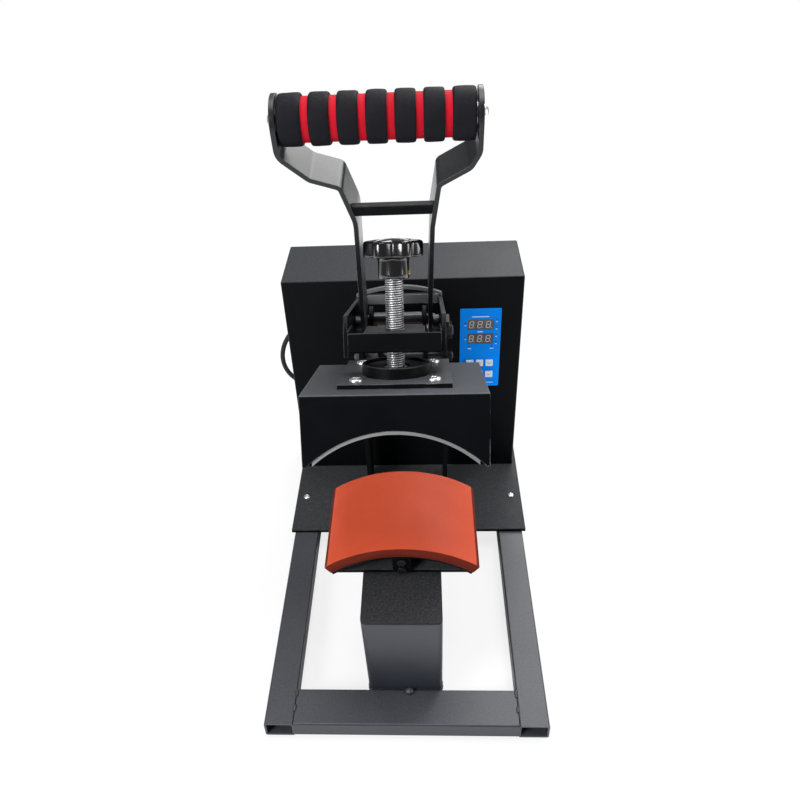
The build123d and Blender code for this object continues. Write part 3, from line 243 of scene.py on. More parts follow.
def surface(tree, bsdf, body, smudge, rougher, grain, strength, depth):
    """Links the colour, a roughness that rises on smudges, and the grain as a bump: depth is in metres."""
    tree.links.new(body, bsdf.inputs["Base Color"])
    roughness = bsdf.inputs["Roughness"]
    tree.links.new(vary(tree, roughness.default_value, smudge.outputs["Patch"], rougher), roughness)
    skin = put(tree, "ShaderNodeBump", Strength=strength, Distance=depth, Height=grain.outputs["Height"])
    tree.links.new(skin.outputs["Normal"], bsdf.inputs["Normal"])


# %% [markdown]
# ### Black powder coat
# Nearly everything is mild steel with a satin black powder coat. Its upright faces are almost black and what faces up
# looks grey, with paler lines where the coat is thin on folded edges. A low gloss keeps the fronts dark, and the Up
# mask lays a flat grey over what faces up as a painted sheen; one number per coat says how much of that painted sheen.
# The wrinkle coat on the post's cap is the same paint with a coarser skin that sparkles.

# %% Powder coat
painted_sheen_grey, speck_grey = (0.086, 0.093, 0.102), (0.4, 0.4, 0.42)
bare_steel, dust_grey = (0.30, 0.30, 0.31), (0.32, 0.31, 0.30)


def powder_coat(name, color, roughness, scale, depth, wear=0.5, dust=0.25, sparkle=0.0, gloss=0.12, painted_sheen=0.3):
    material, tree, bsdf = plain(name, color, roughness, Specular_IOR_Level=gloss)
    grain = use(tree, grain_group, Scale=scale, Mix=0.6)
    smudge = use(tree, smudge_group, Scale=9.0, Dust=dust)
    worn = use(tree, wear_group, Reach=0.0009, Amount=wear, Patches=45.0)
    paler = tuple(c * 1.5 + 0.002 for c in color)
    body = lay_over(tree, color, paler, smudge.outputs["Patch"], 0.6)
    # painted sheen: a flat grey over what faces up, as much as each coat asks for
    body = lay_over(tree, body, painted_sheen_grey, smudge.outputs["Up"], painted_sheen)
    if sparkle:
        body = lay_over(tree, body, speck_grey, grain.outputs["Speck"], sparkle)
    body = lay_over(tree, body, bare_steel, worn.outputs["Mask"], 0.8)
    body = lay_over(tree, body, dust_grey, smudge.outputs["Dust"], 0.35)
    surface(tree, bsdf, body, smudge, 0.12, grain, 0.35, depth)
    return material


satin_black = powder_coat("satin_black_coat", (0.0024, 0.0028, 0.0036), 0.34, 850.0, 0.00012, gloss=0.05, painted_sheen=0.36)
frame_black = powder_coat("frame_black_coat", (0.0125, 0.0148, 0.0225), 0.38, 700.0, 0.00024, wear=0.35,
                          sparkle=0.07, gloss=0.55)
head_black = powder_coat("head_black_coat", (0.0020, 0.0024, 0.0032), 0.32, 900.0, 0.00010, wear=1.0, dust=0.4,
                         gloss=0.05, painted_sheen=1.0)
bar_black = powder_coat("bar_black_coat", (0.0055, 0.0062, 0.0085), 0.27, 900.0, 0.00008, wear=0.4, gloss=0.35)
# A darker, duller copy of the satin black with little painted sheen, for the uprights and toggle links: painted shade.
painted_shade_black = powder_coat("painted_shade_black_coat", (0.0020, 0.0022, 0.0026), 0.45, 900.0, 0.00010, wear=0.05, gloss=0.05,
                         painted_sheen=0.1)
strap_grey = powder_coat("strap_grey_coat", (0.060, 0.062, 0.066), 0.32, 900.0, 0.00012, wear=1.0, gloss=0.7)
wrinkle_black = powder_coat("wrinkle_black_coat", (0.008, 0.008, 0.010), 0.5, 520.0, 0.0006, wear=0.2,
                            sparkle=0.30, painted_sheen=0.1)
print(len(bpy.data.materials), "powder coats made")

# %% [markdown]
# ### Zinc, turned steel, brass and the heater
# Screws and the pressure screw are bright zinc: a pale metal with small cloudy changes of gloss.
# The heater is cast aluminium that has been hot many times, so it is duller and browner.

# %% Metals
def metal(name, color, roughness, tint, scale=260.0, depth=0.00004):
    material, tree, bsdf = plain(name, color, roughness, 1.0)
    grain = use(tree, grain_group, Scale=scale, Mix=0.8)
    smudge = use(tree, smudge_group, Scale=40.0, Dust=0.15)
    body = lay_over(tree, color, tint, smudge.outputs["Patch"], 0.7)
    surface(tree, bsdf, body, smudge, 0.16, grain, 0.3, depth)
    return material


zinc = metal("bright_zinc", (0.70, 0.71, 0.72), 0.22, (0.55, 0.57, 0.60))
chrome = metal("polished_steel", (0.80, 0.80, 0.81), 0.10, (0.66, 0.67, 0.69))
thread_zinc = metal("thread_crests", (0.86, 0.87, 0.88), 0.36, (0.74, 0.75, 0.77), 700.0, 0.00001)
# thread roots: darker for their oil and as painted shade
thread_root_oil_and_shade = metal("thread_roots_oil_and_painted_shade", (0.13, 0.13, 0.135), 0.45, (0.18, 0.18, 0.185), 900.0, 0.00001)
screw_zinc = metal("screw_heads", (0.86, 0.86, 0.87), 0.34, (0.74, 0.75, 0.77))
black_oxide = metal("black_oxide", (0.060, 0.061, 0.065), 0.34, (0.11, 0.11, 0.115))
brass = metal("brass_insert", (0.78, 0.55, 0.22), 0.25, (0.60, 0.40, 0.16))
heater_metal = metal("heater_casting", (0.36, 0.36, 0.37), 0.48, (0.25, 0.24, 0.23), 420.0, 0.00010)

# %% [markdown]
# ### Silicone, foam, rubber and wool
# The pad is orange-red silicone sponge: matt, with a faint mottle and dust specks.
# The grip is closed-cell foam, black on the outside and red in the grooves. Both scatter light, so their gloss is low.

# %% Soft finishes
def soft_finish(name, color, darker, roughness, scale, depth, sheen=0.15, dust=0.2, gloss=0.2):
    material, tree, bsdf = plain(name, color, roughness, Sheen_Weight=sheen, Specular_IOR_Level=gloss)
    grain = use(tree, grain_group, Scale=scale, Mix=0.9)
    smudge = use(tree, smudge_group, Scale=22.0, Dust=dust)
    body = lay_over(tree, color, darker, smudge.outputs["Patch"], 0.55)
    body = lay_over(tree, body, tuple(min(1, c * 1.25 + 0.02) for c in color), grain.outputs["Speck"], 0.18)
    body = lay_over(tree, body, (0.5, 0.48, 0.45), smudge.outputs["Dust"], 0.12)
    surface(tree, bsdf, body, smudge, 0.1, grain, 0.45, depth)
    return material


silicone = soft_finish("orange_silicone", (0.54, 0.066, 0.022), (0.46, 0.050, 0.016), 0.55, 1100.0, 0.00015, 0.05)
# the cut faces: the same silicone much darker, as painted shade, and rougher
silicone_shaded_sides = soft_finish("silicone_sides_painted_shade", (0.115, 0.014, 0.007), (0.070, 0.009, 0.005), 0.75, 900.0, 0.0004, 0.0,
                           gloss=0.08)
foam_black = soft_finish("black_foam", (0.0035, 0.0035, 0.006), (0.008, 0.008, 0.012), 0.66, 1300.0, 0.0004, 0.0,
                         gloss=0.14)
foam_red = soft_finish("red_foam", (0.48, 0.0045, 0.018), (0.32, 0.0025, 0.010), 0.6, 1300.0, 0.0004, 0.0, gloss=0.10)
rubber = soft_finish("black_rubber", (0.014, 0.014, 0.015), (0.022, 0.022, 0.023), 0.5, 900.0, 0.00008, 0.04)
wool = soft_finish("mineral_wool", (0.62, 0.58, 0.48), (0.5, 0.46, 0.38), 0.9, 500.0, 0.0008, 0.3)

# %% [markdown]
# ### Plastics, the panel film and small printed marks
# The star knob is glossy thermoset, so it takes a clear coat. The control panel is a blue printed film: even, satin,
# with hardly any grain. Display windows are dark smoked plastic with pale unlit segments.

# %% Plastics
def plastic(name, color, roughness, coat=0.0, patch=0.35, gloss=0.5):
    material, tree, bsdf = plain(name, color, roughness, Coat_Weight=coat, Coat_Roughness=0.06,
                                 Specular_IOR_Level=gloss)
    grain = use(tree, grain_group, Scale=600.0, Mix=0.5)
    smudge = use(tree, smudge_group, Scale=30.0, Dust=0.1)
    body = lay_over(tree, color, tuple(c * 0.8 for c in color), smudge.outputs["Patch"], patch)
    surface(tree, bsdf, body, smudge, 0.08, grain, 0.2, 0.00005)
    return material


gloss_black = plastic("gloss_black_knob", (0.006, 0.006, 0.007), 0.16, 0.6)
panel_blue = plastic("blue_panel_film", (0.0, 0.265, 1.0), 0.45, 0.0, patch=0.06, gloss=0.06)
smoked = plastic("smoked_window", (0.070, 0.066, 0.075), 0.22, 0.3)
segment_grey = plastic("unlit_segments", (0.56, 0.53, 0.50), 0.4)
key_white = plastic("key_caps", (0.72, 0.80, 0.88), 0.38, patch=0.12)
mark_white = plastic("printed_white", (0.70, 0.84, 0.96), 0.45, patch=0.12)
mark_blue = plastic("printed_blue", (0.03, 0.17, 0.50), 0.45)
led_dark = plastic("unlit_lamp", (0.03, 0.05, 0.12), 0.2, 0.3)
board_green = plastic("circuit_board", (0.02, 0.16, 0.06), 0.4, 0.2)
rocker_red = plastic("rocker_red", (0.42, 0.02, 0.02), 0.25, 0.3)
switch_black = plastic("switch_black", (0.012, 0.012, 0.013), 0.35)
print(len(bpy.data.materials), "materials made")

# %% [markdown]
# ## Finishing the frame's own nodes
# A CAD node whose shape is right stays as it is. It only needs its edges broken, since no steel edge is knife sharp:
# a Weld modifier joins the triangles, a flat Decimate clears the coplanar ones, and a small Bevel catches the light.

# %% Dress the CAD nodes
def dress(material, width, *names):
    """Gives these CAD nodes a material and a broken edge of this width, in metres."""
    for name in names:
        obj = nodes[name]
        obj.data.materials.clear()
        obj.data.materials.append(material)
        custom = obj.data.attributes.get("custom_normal")
        if custom:
            obj.data.attributes.remove(custom)
        obj.data.polygons.foreach_set("use_smooth", [True] * len(obj.data.polygons))
        weld = obj.modifiers.new("join", "WELD")
        weld.merge_threshold = 0.00001
        flat = obj.modifiers.new("clear_flats", "DECIMATE")
        flat.decimate_type = "DISSOLVE"
        flat.angle_limit = radians(1)
        edge = obj.modifiers.new("broken_edge", "BEVEL")
        edge.width = width
        edge.segments = 2
        edge.limit_method = "ANGLE"
        edge.angle_limit = radians(40)
        edge.miter_outer = "MITER_ARC"
        even = obj.modifiers.new("even_normals", "WEIGHTED_NORMAL")
        even.keep_sharp = True


dress(frame_black, 0.0006, "side_tube_left", "side_tube_right", "front_cross_tube", "rear_cross_tube",
      "centre_rail", "platen_post")
# the darker copy of the satin black: painted shade on the uprights and links
dress(painted_shade_black, 0.0004, "upright_left", "upright_right", "toggle_links")
dress(satin_black, 0.0006, "deck_plate", "box_shell", "rear_cover", "arm_plate_left", "arm_plate_right",
      "cross_block", "lever_brace", "swivel_cup", "platen_shelf", "platen_block", "platen_shell")
dress(bar_black, 0.0006, "lever_bar_left", "lever_bar_right")
dress(strap_grey, 0.0006, "arm_bridge")
dress(wrinkle_black, 0.0006, "post_cap")
dress(head_black, 0.0007, "head_cover", "mount_plate")
dress(heater_metal, 0.0004, "heater_platen")
dress(wool, 0.001, "head_insulation")
dress(black_oxide, 0.0004, "hinge_bolts", "pivot_spacers", "lever_studs", "link_pin", "platen_bolts")
dress(zinc, 0.0004, "grip_tube")
dress(panel_blue, 0.0003, "control_panel")
dress(smoked, 0.0002, "digit_displays")
dress(board_green, 0.0002, "control_board")
dress(key_white, 0.0002, "key_1", "key_2", "key_3", "key_4", "key_5", "key_6")
dress(switch_black, 0.0003, "switch_housing", "cord_tie")
dress(rocker_red, 0.0004, "switch_rocker")
dress(rubber, 0.001, "rubber_feet")
dress(brass, 0.0002, "knob_grub_screw")
print(sum(1 for node in nodes.values() if node.modifiers), "nodes dressed")

# %% [markdown]
# ## Making meshes in real places
# Every piece below is built from numbers and then moved to where the solids are. Most are skins over closed rows of
# points, because a row is easy to turn, shrink or dent.

# %% Mesh helpers
def mesh_object(name, verts, faces, material, body, matrix=None, sharp=40, slot=None):
    """A mesh that rides on this body, smooth but for edges sharper than this angle, in degrees."""
    mesh = bpy.data.meshes.new(name)
    mesh.from_pydata([tuple(v) for v in verts], [], faces)
    work = bmesh.new()
    work.from_mesh(mesh)
    bmesh.ops.remove_doubles(work, verts=work.verts, dist=1e-6)
    bmesh.ops.recalc_face_normals(work, faces=work.faces)
    for face in work.faces:
        face.smooth = True
    for edge in work.edges:
        edge.smooth = len(edge.link_faces) == 2 and edge.calc_face_angle(0) < radians(sharp)
    work.to_mesh(mesh)
    work.free()
    if matrix is not None:
        mesh.transform(matrix)
    mesh.materials.append(material)
    obj = bpy.data.objects.new(name, mesh)
    scene.collection.objects.link(obj)
    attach(obj, body)
    return obj


def rings(rows, close_first=True, close_last=True):
    """Verts and faces of a skin over closed rows of equal count, with its ends capped."""
    count = len(rows[0])
    verts = [p for row in rows for p in row]
    faces = []
    for i in range(len(rows) - 1):
        for j in range(count):
            k = (j + 1) % count
            faces.append((i * count + j, i * count + k, (i + 1) * count + k, (i + 1) * count + j))
    if close_first:
        faces.append(tuple(reversed(range(count))))
    if close_last:
        faces.append(tuple(range((len(rows) - 1) * count, len(rows) * count)))
    return verts, faces


def tube_rings(rows):
    """Rings whose last row joins the first, as round the wall of a tube."""
    verts, faces = rings(rows, False, False)
    count = len(rows[0])
    last = (len(rows) - 1) * count
    return verts, faces + [(j, (j + 1) % count, last + (j + 1) % count, last + j) for j in range(count)]


def circle(count):
    """Angles of evenly spaced points once round."""
    return [2 * pi * j / count for j in range(count)]


def lathe(profile, count=40):
    """A closed skin turned about Z: the profile is pairs of radius and height."""
    return rings([[(r * cos(a), r * sin(a), z) for a in circle(count)] for r, z in profile])


def joined(*sets):
    """Several (verts, faces) as one."""
    verts, faces = [], []
    for v, f in sets:
        base = len(verts)
        verts += [Vector(p) for p in v]
        faces += [tuple(i + base for i in face) for face in f]
    return verts, faces


def moved(shape, matrix):
    """A (verts, faces) pair moved by a matrix."""
    return [matrix @ Vector(p) for p in shape[0]], shape[1]


# %% [markdown]
# ### Where the arm and the lever are
# Both lean at rest, so we keep one matrix for each: inside it, up is along the pressure screw or along the lever.

# %% Leaning places
hinge, lever_pivot = Vector((0, 0.113, 0.268)), Vector((0, -0.160, 0.032))
arm_frame = Matrix.Translation(hinge) @ Matrix.Rotation(-radians(24), 4, "X")
lever_frame = Matrix.Translation(arm_frame @ lever_pivot) @ Matrix.Rotation(radians(10), 4, "X")
print("lever pivot", [round(c, 4) for c in lever_frame.translation])

# %% [markdown]
# ## The power cord
# The cord leaves the box through a rubber sleeve, loops out past the box's left side, where the picture shows a
# short piece of it, and lies in a tied coil behind the press. One NURBS curve follows the whole route; its points
# are the same ones that the solid cord was bent along. A hand winds a coil in half turns that get smaller, climbs
# one layer and winds out again, and each half turn is a row of points a little outside its circle.

# %% Cord route
cord_d, lying_z = 0.007, 0.0045
coil_x, coil_y, outer_turn, turn_step, layer_rise = 0.020, 0.293, 0.047, 0.0039, 0.0076
route = [(-112, 262, 176), (-112, 284, 176), (-124, 304, 173), (-146, 312, 165), (-168, 307, 150),
         (-183, 301, 129), (-188, 298, 104), (-182, 298, 80), (-167, 302, 60), (-148, 309, 43),
         (-127, 315, 28), (-105, 317, 15), (-82, 313, 6), (-58, 305, 4.5), (-34, 297, 4.5), (-11, 293, 4.5)]
cord_points = [Vector(p) / 1000 for p in route]
cord_points.append(Vector((0.013, coil_y, lying_z)))


def coil_points(step=15):
    """Points of the half turns, and the coil's end."""
    y, z, heading, points = coil_y, lying_z, 1, []
    inward = [outer_turn - turn_step * i for i in range(5)]
    plan = [(radius, 0) for radius in inward] + [(outer_turn - turn_step * 5, layer_rise)]
    plan += [(radius, 0) for radius in reversed(inward)]
    for radius, rise in plan:
        centre = y + heading * radius
        grown = radius / cos(radians(step / 2))
        for k in range(180 // step):
            a = radians(step * (k + 0.5))
            share = (k + 0.5) * step / 180
            points.append(Vector((coil_x + grown * sin(a) * heading, centre - heading * grown * cos(a),
                                  z + rise * share * share * (3 - 2 * share))))
        y += heading * 2 * radius
        z += rise
        heading = -heading
    return points, Vector((coil_x, y, z))


turns, coil_end = coil_points()
plug_start = coil_end - Vector((0.007, 0, 0))
cord_points += turns + [coil_end, plug_start]
curve = bpy.data.curves.new("power_lead", "CURVE")
curve.dimensions = "3D"
curve.bevel_depth = cord_d / 2
curve.bevel_resolution = 5
curve.resolution_u = 6
spline = curve.splines.new("NURBS")
spline.points.add(len(cord_points) - 1)
for point, place in zip(spline.points, cord_points):
    point.co = (*place, 1)
spline.order_u = 3
spline.use_endpoint_u = True
curve.materials.append(rubber)
lead = bpy.data.objects.new("power_lead", curve)
scene.collection.objects.link(lead)
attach(lead, "base")
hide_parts("power_cord", "cord_coil")
print("cord points", len(cord_points), "coil ends at", [round(c, 4) for c in coil_end])

# %% [markdown]
# ### The sleeve and the plug
# A strain relief is ribbed so that it bends in many small steps. The plug is one moulding with a waisted grip, two
# flat blades and a round pin. Both are rows of rings joined into a skin; only the sizes of the rings change.

# %% Sleeve
along_y = Matrix.Rotation(-pi / 2, 4, "X")
sleeve = [(0.0064, -0.0055), (0.0064, 0.0), (0.0098, 0.0), (0.0100, 0.0004), (0.0100, 0.0034), (0.0096, 0.004),
          (0.0074, 0.0042)]
for k in range(6):
    z = 0.0052 + k * 0.0033
    outer = 0.0072 - k * 0.00042
    sleeve += [(outer, z), (outer, z + 0.0019), (outer - 0.0011, z + 0.0021), (outer - 0.0012, z + 0.0031)]
sleeve.append((0.0044, 0.025))
gland = mesh_object("cord_sleeve", *lathe(sleeve), rubber, "base",
                    Matrix.Translation((-0.112, 0.237, 0.176)) @ along_y, slot="rubber_black")
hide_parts("cord_gland")

# %% Plug
def rounded_row(half_w, half_h, corner, z, count=10):
    """A rounded rectangle as a closed row."""
    row = []
    for cx, cy, start in ((1, 1, 0), (-1, 1, 90), (-1, -1, 180), (1, -1, 270)):
        for k in range(count):
            a = radians(start + 90 * k / (count - 1))
            row.append(((half_w - corner) * cx + corner * cos(a), (half_h - corner) * cy + corner * sin(a), z))
    return row


plug_rows = [rounded_row(0.0043, 0.0043, 0.00425, 0.0)]
for k in range(5):
    z = 0.0025 + k * 0.0034
    half = 0.0046 + k * 0.0003
    plug_rows += [rounded_row(half, half, half - 0.0001, z), rounded_row(half, half, half - 0.0001, z + 0.0018),
                  rounded_row(half - 0.0007, half - 0.0007, half - 0.0008, z + 0.0022)]
for half_w, half_h, corner, z in ((0.0075, 0.0072, 0.007, 0.0200), (0.0105, 0.0092, 0.0075, 0.0225),
                                  (0.0108, 0.0094, 0.007, 0.028), (0.0103, 0.0090, 0.007, 0.036),
                                  (0.0112, 0.0098, 0.007, 0.045), (0.0119, 0.0104, 0.006, 0.0505),
                                  (0.0119, 0.0104, 0.006, 0.0530), (0.0110, 0.0096, 0.005, 0.0539)):
    plug_rows.append(rounded_row(half_w, half_h, corner, z))
# the plug's own Z runs away from the cord, which is -X here, and its own Y points up
plug_turn = Matrix(((0, 0, -1), (-1, 0, 0), (0, 1, 0))).to_4x4()
plug_place = Matrix.Translation(plug_start) @ plug_turn
plug = mesh_object("plug_body", *rings(plug_rows), rubber, "base", plug_place, slot="gloss_black")
blades = []
for x in (-0.00635, 0.00635):
    blade_rows = [rounded_row(0.00075, 0.00315, 0.0004, z, 4) for z in (0.0535, 0.0705)]
    blade_rows.append(rounded_row(0.00045, 0.0026, 0.0003, 0.0709, 4))
    blades.append(moved(rings(blade_rows), Matrix.Translation((x, 0.0025, 0))))
pin = lathe([(0.0024, 0.0535), (0.0024, 0.0695), (0.0014, 0.0709)], 20)
blades.append(moved(pin, Matrix.Translation((0, -0.0065, 0))))
prongs = mesh_object("plug_blades", *joined(*blades), chrome, "base", plug_place, slot="zinc")
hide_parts("power_plug")
print("plug faces", len(plug.data.polygons))

# %% [markdown]
# ## The pressure screw
# The most striking bright part is an M16 screw with a 2 mm pitch. A thread is a surface whose radius depends on
# height minus turn: go round once and the ridge has climbed one pitch. We sample that on a fine grid of rings, and
# give the deep faces a darker metal, for the oil that the roots hold and as painted shade in them.

# %% Threaded screw
def thread_rows(low, high, radius, pitch, depth, fade=0.0015, count=60, per_turn=16):
    """Rows of a threaded bar, whose ridge fades towards both ends."""
    rows = []
    steps = round((high - low) / pitch * per_turn)
    for i in range(steps + 1):
        z = low + (high - low) * i / steps
        near_end = min(1.0, (high - z) / fade, (z - low) / fade)
        row = []
        for j in range(count):
            phase = (z / pitch - j / count) % 1.0
            ridge = abs(phase - 0.5) * 2
            cut = min(1.0, max(0.0, ridge * 1.45 - 0.30))
            r = radius - depth * (cut * near_end + (1 - near_end) * 0.9)
            row.append((r * cos(2 * pi * j / count), r * sin(2 * pi * j / count), z))
        rows.append(row)
    return rows


screw_place = arm_frame @ Matrix.Translation((0, -0.222, 0))
collar = lathe([(0.0119, -0.0029), (0.0120, -0.0026), (0.0120, 0.0003), (0.0116, 0.0006)], 48)
threaded = rings(thread_rows(0.0006, 0.0889, radius=0.008, pitch=0.002, depth=0.00122))
screw = mesh_object("threaded_screw", *joined(threaded, collar), thread_zinc, "screw_and_knob", screw_place,
                    sharp=60, slot="zinc")
# the deep faces take the darker root metal: oil and painted shade
screw.data.materials.append(thread_root_oil_and_shade)
to_screw, root_radius = screw_place.inverted(), 0.00738
for face in screw.data.polygons:
    middle = to_screw @ face.center
    if sqrt(middle.x ** 2 + middle.y ** 2) < root_radius and 0.001 < middle.z < 0.088:
        face.material_index = 1
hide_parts("pressure_screw")
print("thread faces", len(screw.data.polygons))

# %% [markdown]
# ## The star knob
# A moulded star knob is a hub under a ring of finger lobes, with every edge well rounded. Its outline in plan is a
# circle whose radius swells six times in a turn, and its rings shrink at the top and bottom to make soft edges.

# %% Star knob
lobes, lobe_depth = 6, 0.27


def star_row(size, z, swell):
    """One ring of the star: swell 0 is round, 1 has full lobes."""
    row = []
    for a in circle(120):
        lobe = (0.5 + 0.5 * cos(lobes * a)) ** 0.75
        r = size * (1 - swell * lobe_depth * (1 - lobe))
        row.append((r * cos(a), r * sin(a), z))
    return row


# radius, height and swell of each ring, upwards
knob_rings = [(0.0127, 0.0790, 0), (0.0134, 0.0794, 0), (0.0135, 0.0830, 0), (0.0137, 0.0940, 0), (0.0141, 0.0962, 0),
              (0.0162, 0.0970, 0.35), (0.0225, 0.0972, 0.95), (0.0250, 0.0976, 1), (0.0257, 0.0983, 1),
              (0.0259, 0.0995, 1), (0.0260, 0.1040, 1), (0.0260, 0.1082, 1), (0.0257, 0.1098, 1),
              (0.0249, 0.1108, 1), (0.0232, 0.1115, 0.95), (0.0180, 0.1122, 0.6), (0.0130, 0.1128, 0.2),
              (0.0085, 0.1133, 0), (0.0040, 0.1136, 0)]
knob_skin = rings([star_row(*ring) for ring in knob_rings])
knob = mesh_object("star_knob_moulding", *knob_skin, gloss_black, "screw_and_knob", screw_place, sharp=70,
                   slot="gloss_black")
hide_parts("star_knob")
print("knob faces", len(knob.data.polygons))

# %% [markdown]
# ## The silicone pad
# The pad is a sheet of sponge glued over the curved platen. Its cut edges are slightly rounded and its outer face
# is never perfectly even. We sweep a rounded band cross-section from front to back and let slow noise lift the face.
# The cut faces at the front, back and sides are rougher, and a much darker copy of the silicone paints shade on them.

# %% Silicone pad
pad_outer, pad_inner, pad_mid_z, pad_half, corner = 0.122, 0.1113, 0.0808225, radians(37.93), 0.0011


def pad_section(y, inset):
    """The band's outline at one depth: outer arc, rounded corner, inner arc."""
    outer, inner, half_out = pad_outer - inset, pad_inner + inset * 0.4, pad_half - inset / pad_outer
    row = []
    for k in range(41):
        a = half_out * (1 - 2 * k / 40)
        edge = max(0.0, abs(a) - (half_out - corner / outer)) / (corner / outer)
        lift_off = corner * (1 - sqrt(max(0.0, 1 - edge * edge)))
        wave = 0.00022 * noise.noise(Vector((a * 9, y * 30, 3.1))) - 0.0002
        r = outer - lift_off + wave
        row.append((r * sin(a), y, pad_mid_z + r * cos(a)))
    for k in range(41):
        a = -half_out * (1 - 2 * k / 40)
        edge = max(0.0, abs(a) - (half_out - corner / inner)) / (corner / inner)
        r = inner + corner * 0.6 * (1 - sqrt(max(0.0, 1 - edge * edge)))
        row.append((r * sin(a), y, pad_mid_z + r * cos(a)))
    return row


slices = [(-0.1640, 0.0010), (-0.1638, 0.0005), (-0.1634, 0.00015), (-0.1628, 0.0)]
slices += [(-0.1628 + 0.1056 * k / 22, 0.0) for k in range(1, 22)]
slices += [(-0.0572, 0.0), (-0.0566, 0.00015), (-0.0562, 0.0005), (-0.0560, 0.0010)]
pad = mesh_object("pad_sponge", *rings([pad_section(*cut) for cut in slices]), silicone, "base", slot="silicone",
                  sharp=50)
pad.data.materials.append(silicone_shaded_sides)
# the cut faces take the darker copy: painted shade
for face in pad.data.polygons:
    if abs(face.normal.y) > 0.6 or abs(face.normal.x) > 0.75:
        face.material_index = 1
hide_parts("silicone_pad")
print("pad faces", len(pad.data.polygons))

# %% [markdown]
# ## The foam grip
# A foam sleeve is slipped over the tube: seven black bands with red grooves between them, the two end bands a little
# longer. Foam is never quite even, so each band is turned from a soft profile and then dented a little by noise.

# %% Foam grip
along_x = Matrix.Rotation(pi / 2, 4, "Y")
grip_shift, grip_up = -0.0074, 0.210
grip_place = lever_frame @ Matrix.Translation((grip_shift, 0, grip_up)) @ along_x
half_grip, groove, end_band = 0.075, 0.0056, 0.018
middle_band = (2 * half_grip - 2 * end_band - 6 * groove) / 5
band_outer, band_inner = 0.020, 0.0174


def foam_band(start, width, seed):
    """A tube of foam with soft edges; small dents make its outline uneven."""
    soft = [(0.0024, 0.0), (0.0013, 0.00025), (0.0005, 0.0010), (0.00015, 0.0020)]
    profile = [(band_inner, 0.0)] + [(band_outer - cut, z) for cut, z in soft]
    profile += [(band_outer + 0.00005 * sin(pi * k / 4), 0.0020 + (width - 0.0040) * k / 4) for k in (1, 2, 3)]
    profile += [(band_outer - cut, width - z) for cut, z in reversed(soft)] + [(band_inner, width)]
    rows = []
    for i, (r, z) in enumerate(profile):
        row = []
        for a in circle(56):
            dent = 0.0
            if 0 < i < len(profile) - 1:
                dent = 0.00025 * noise.noise(Vector((cos(a) * 2.2, sin(a) * 2.2, seed * 7.3 + z * 90))) - 0.0002
            row.append(((r + dent) * cos(a), (r + dent) * sin(a), start + z))
        rows.append(row)
    return tube_rings(rows)


bands, start = [], -half_grip
for k in range(7):
    width = end_band if k in (0, 6) else middle_band
    bands.append(foam_band(start, width, k))
    start += width + groove
foam = mesh_object("foam_bands", *joined(*bands), foam_black, "lever", grip_place, slot="foam_black", sharp=70)
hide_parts("foam_rings")
# the red that shows in the grooves is one long sleeve under the bands
core_profile = [(0.0111, -0.075), (0.0170, -0.0749)]
core_profile += [(0.0171, -0.0749 + 0.1498 * k / 40) for k in range(1, 40)]
core_profile += [(0.0170, 0.0749), (0.0111, 0.075)]
core_rows = [[((r + 0.0001 * noise.noise(Vector((cos(a) * 3, sin(a) * 3, z * 80)))) * cos(a), r * sin(a), z)
              for a in circle(48)] for r, z in core_profile]
core = mesh_object("foam_core_red", *tube_rings(core_rows), foam_red, "lever", grip_place, slot="foam_red", sharp=70)
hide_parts("foam_core")
print("middle bands are %.1f mm wide" % (middle_band * 1000))

# %% [markdown]
# ## Screws with cross slots
# A pan head is a low dome with a cross pressed into it. Cutting real slots is slow, so the head is a polar grid
# whose height drops inside the cross; a thin wall between the two heights reads as the slot's side.

# %% Pan-head screws
def cross_head(radius, height, arm, width, depth, rim=0.25):
    """A domed head, its slot pressed in from above, standing on z = 0."""
    rows = [[(radius * cos(a), radius * sin(a), 0.0) for a in circle(48)]]
    for k in range(15):
        share = 1 - k / 14
        r = radius * share * 0.999 if k else radius
        dome = height * (rim + (1 - rim) * sqrt(max(0.0, 1 - share ** 2.6)))
        row = []
        for a in circle(48):
            x, y = r * cos(a), r * sin(a)
            inside = min(1.0, max(0.0, (width - min(abs(x), abs(y))) / (width * 0.35)))
            inside *= min(1.0, max(0.0, (arm - max(abs(x), abs(y))) / (arm * 0.15)))
            row.append((x, y, dome - depth * inside * inside * (3 - 2 * inside)))
        rows.append(row)
    return rings(rows)


def screw_with(head, shank_r, shank_l):
    """The head with a plain shank below it."""
    return joined(head, lathe([(shank_r, -shank_l), (shank_r, 0.0)], 20))


pan = screw_with(cross_head(0.004, 0.0026, 0.0024, 0.0006, 0.0013), 0.002, 0.007)
pan_low = screw_with(cross_head(0.004, 0.0024, 0.0024, 0.0006, 0.0013), 0.002, 0.0078)
spots = [Matrix.Translation((sx * 0.134, 0.082, 0.030)) @ Matrix.Rotation(0.5 * sx + 0.3, 4, "Z") for sx in (-1, 1)]
spots += [Matrix.Translation((sx * 0.134, 0.237, z)) @ along_y @ Matrix.Rotation(0.4 + z, 4, "Z")
          for sx in (-1, 1) for z in (0.042, 0.307)]
foot_spots = [Matrix.Translation((sx * 0.128, sy * 0.207, 0.003)) @ Matrix.Rotation(pi, 4, "X")
              for sx in (-1, 1) for sy in (-1, 1)]
pan_set = joined(*[moved(pan, spot) for spot in spots], *[moved(pan_low, spot) for spot in foot_spots])
pan_screws = mesh_object("cross_slot_screws", *pan_set, screw_zinc, "base", slot="zinc")
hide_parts("pan_screws")
big = screw_with(cross_head(0.0057, 0.0028, 0.0033, 0.0009, 0.0018, 0.45), 0.0025, 0.0152)
head_spots = [Matrix.Translation((sx * 0.0335, v, -0.005)) @ Matrix.Rotation(v * 20 + sx, 4, "Z")
              for sx in (-1, 1) for v in (-0.252, -0.172)]
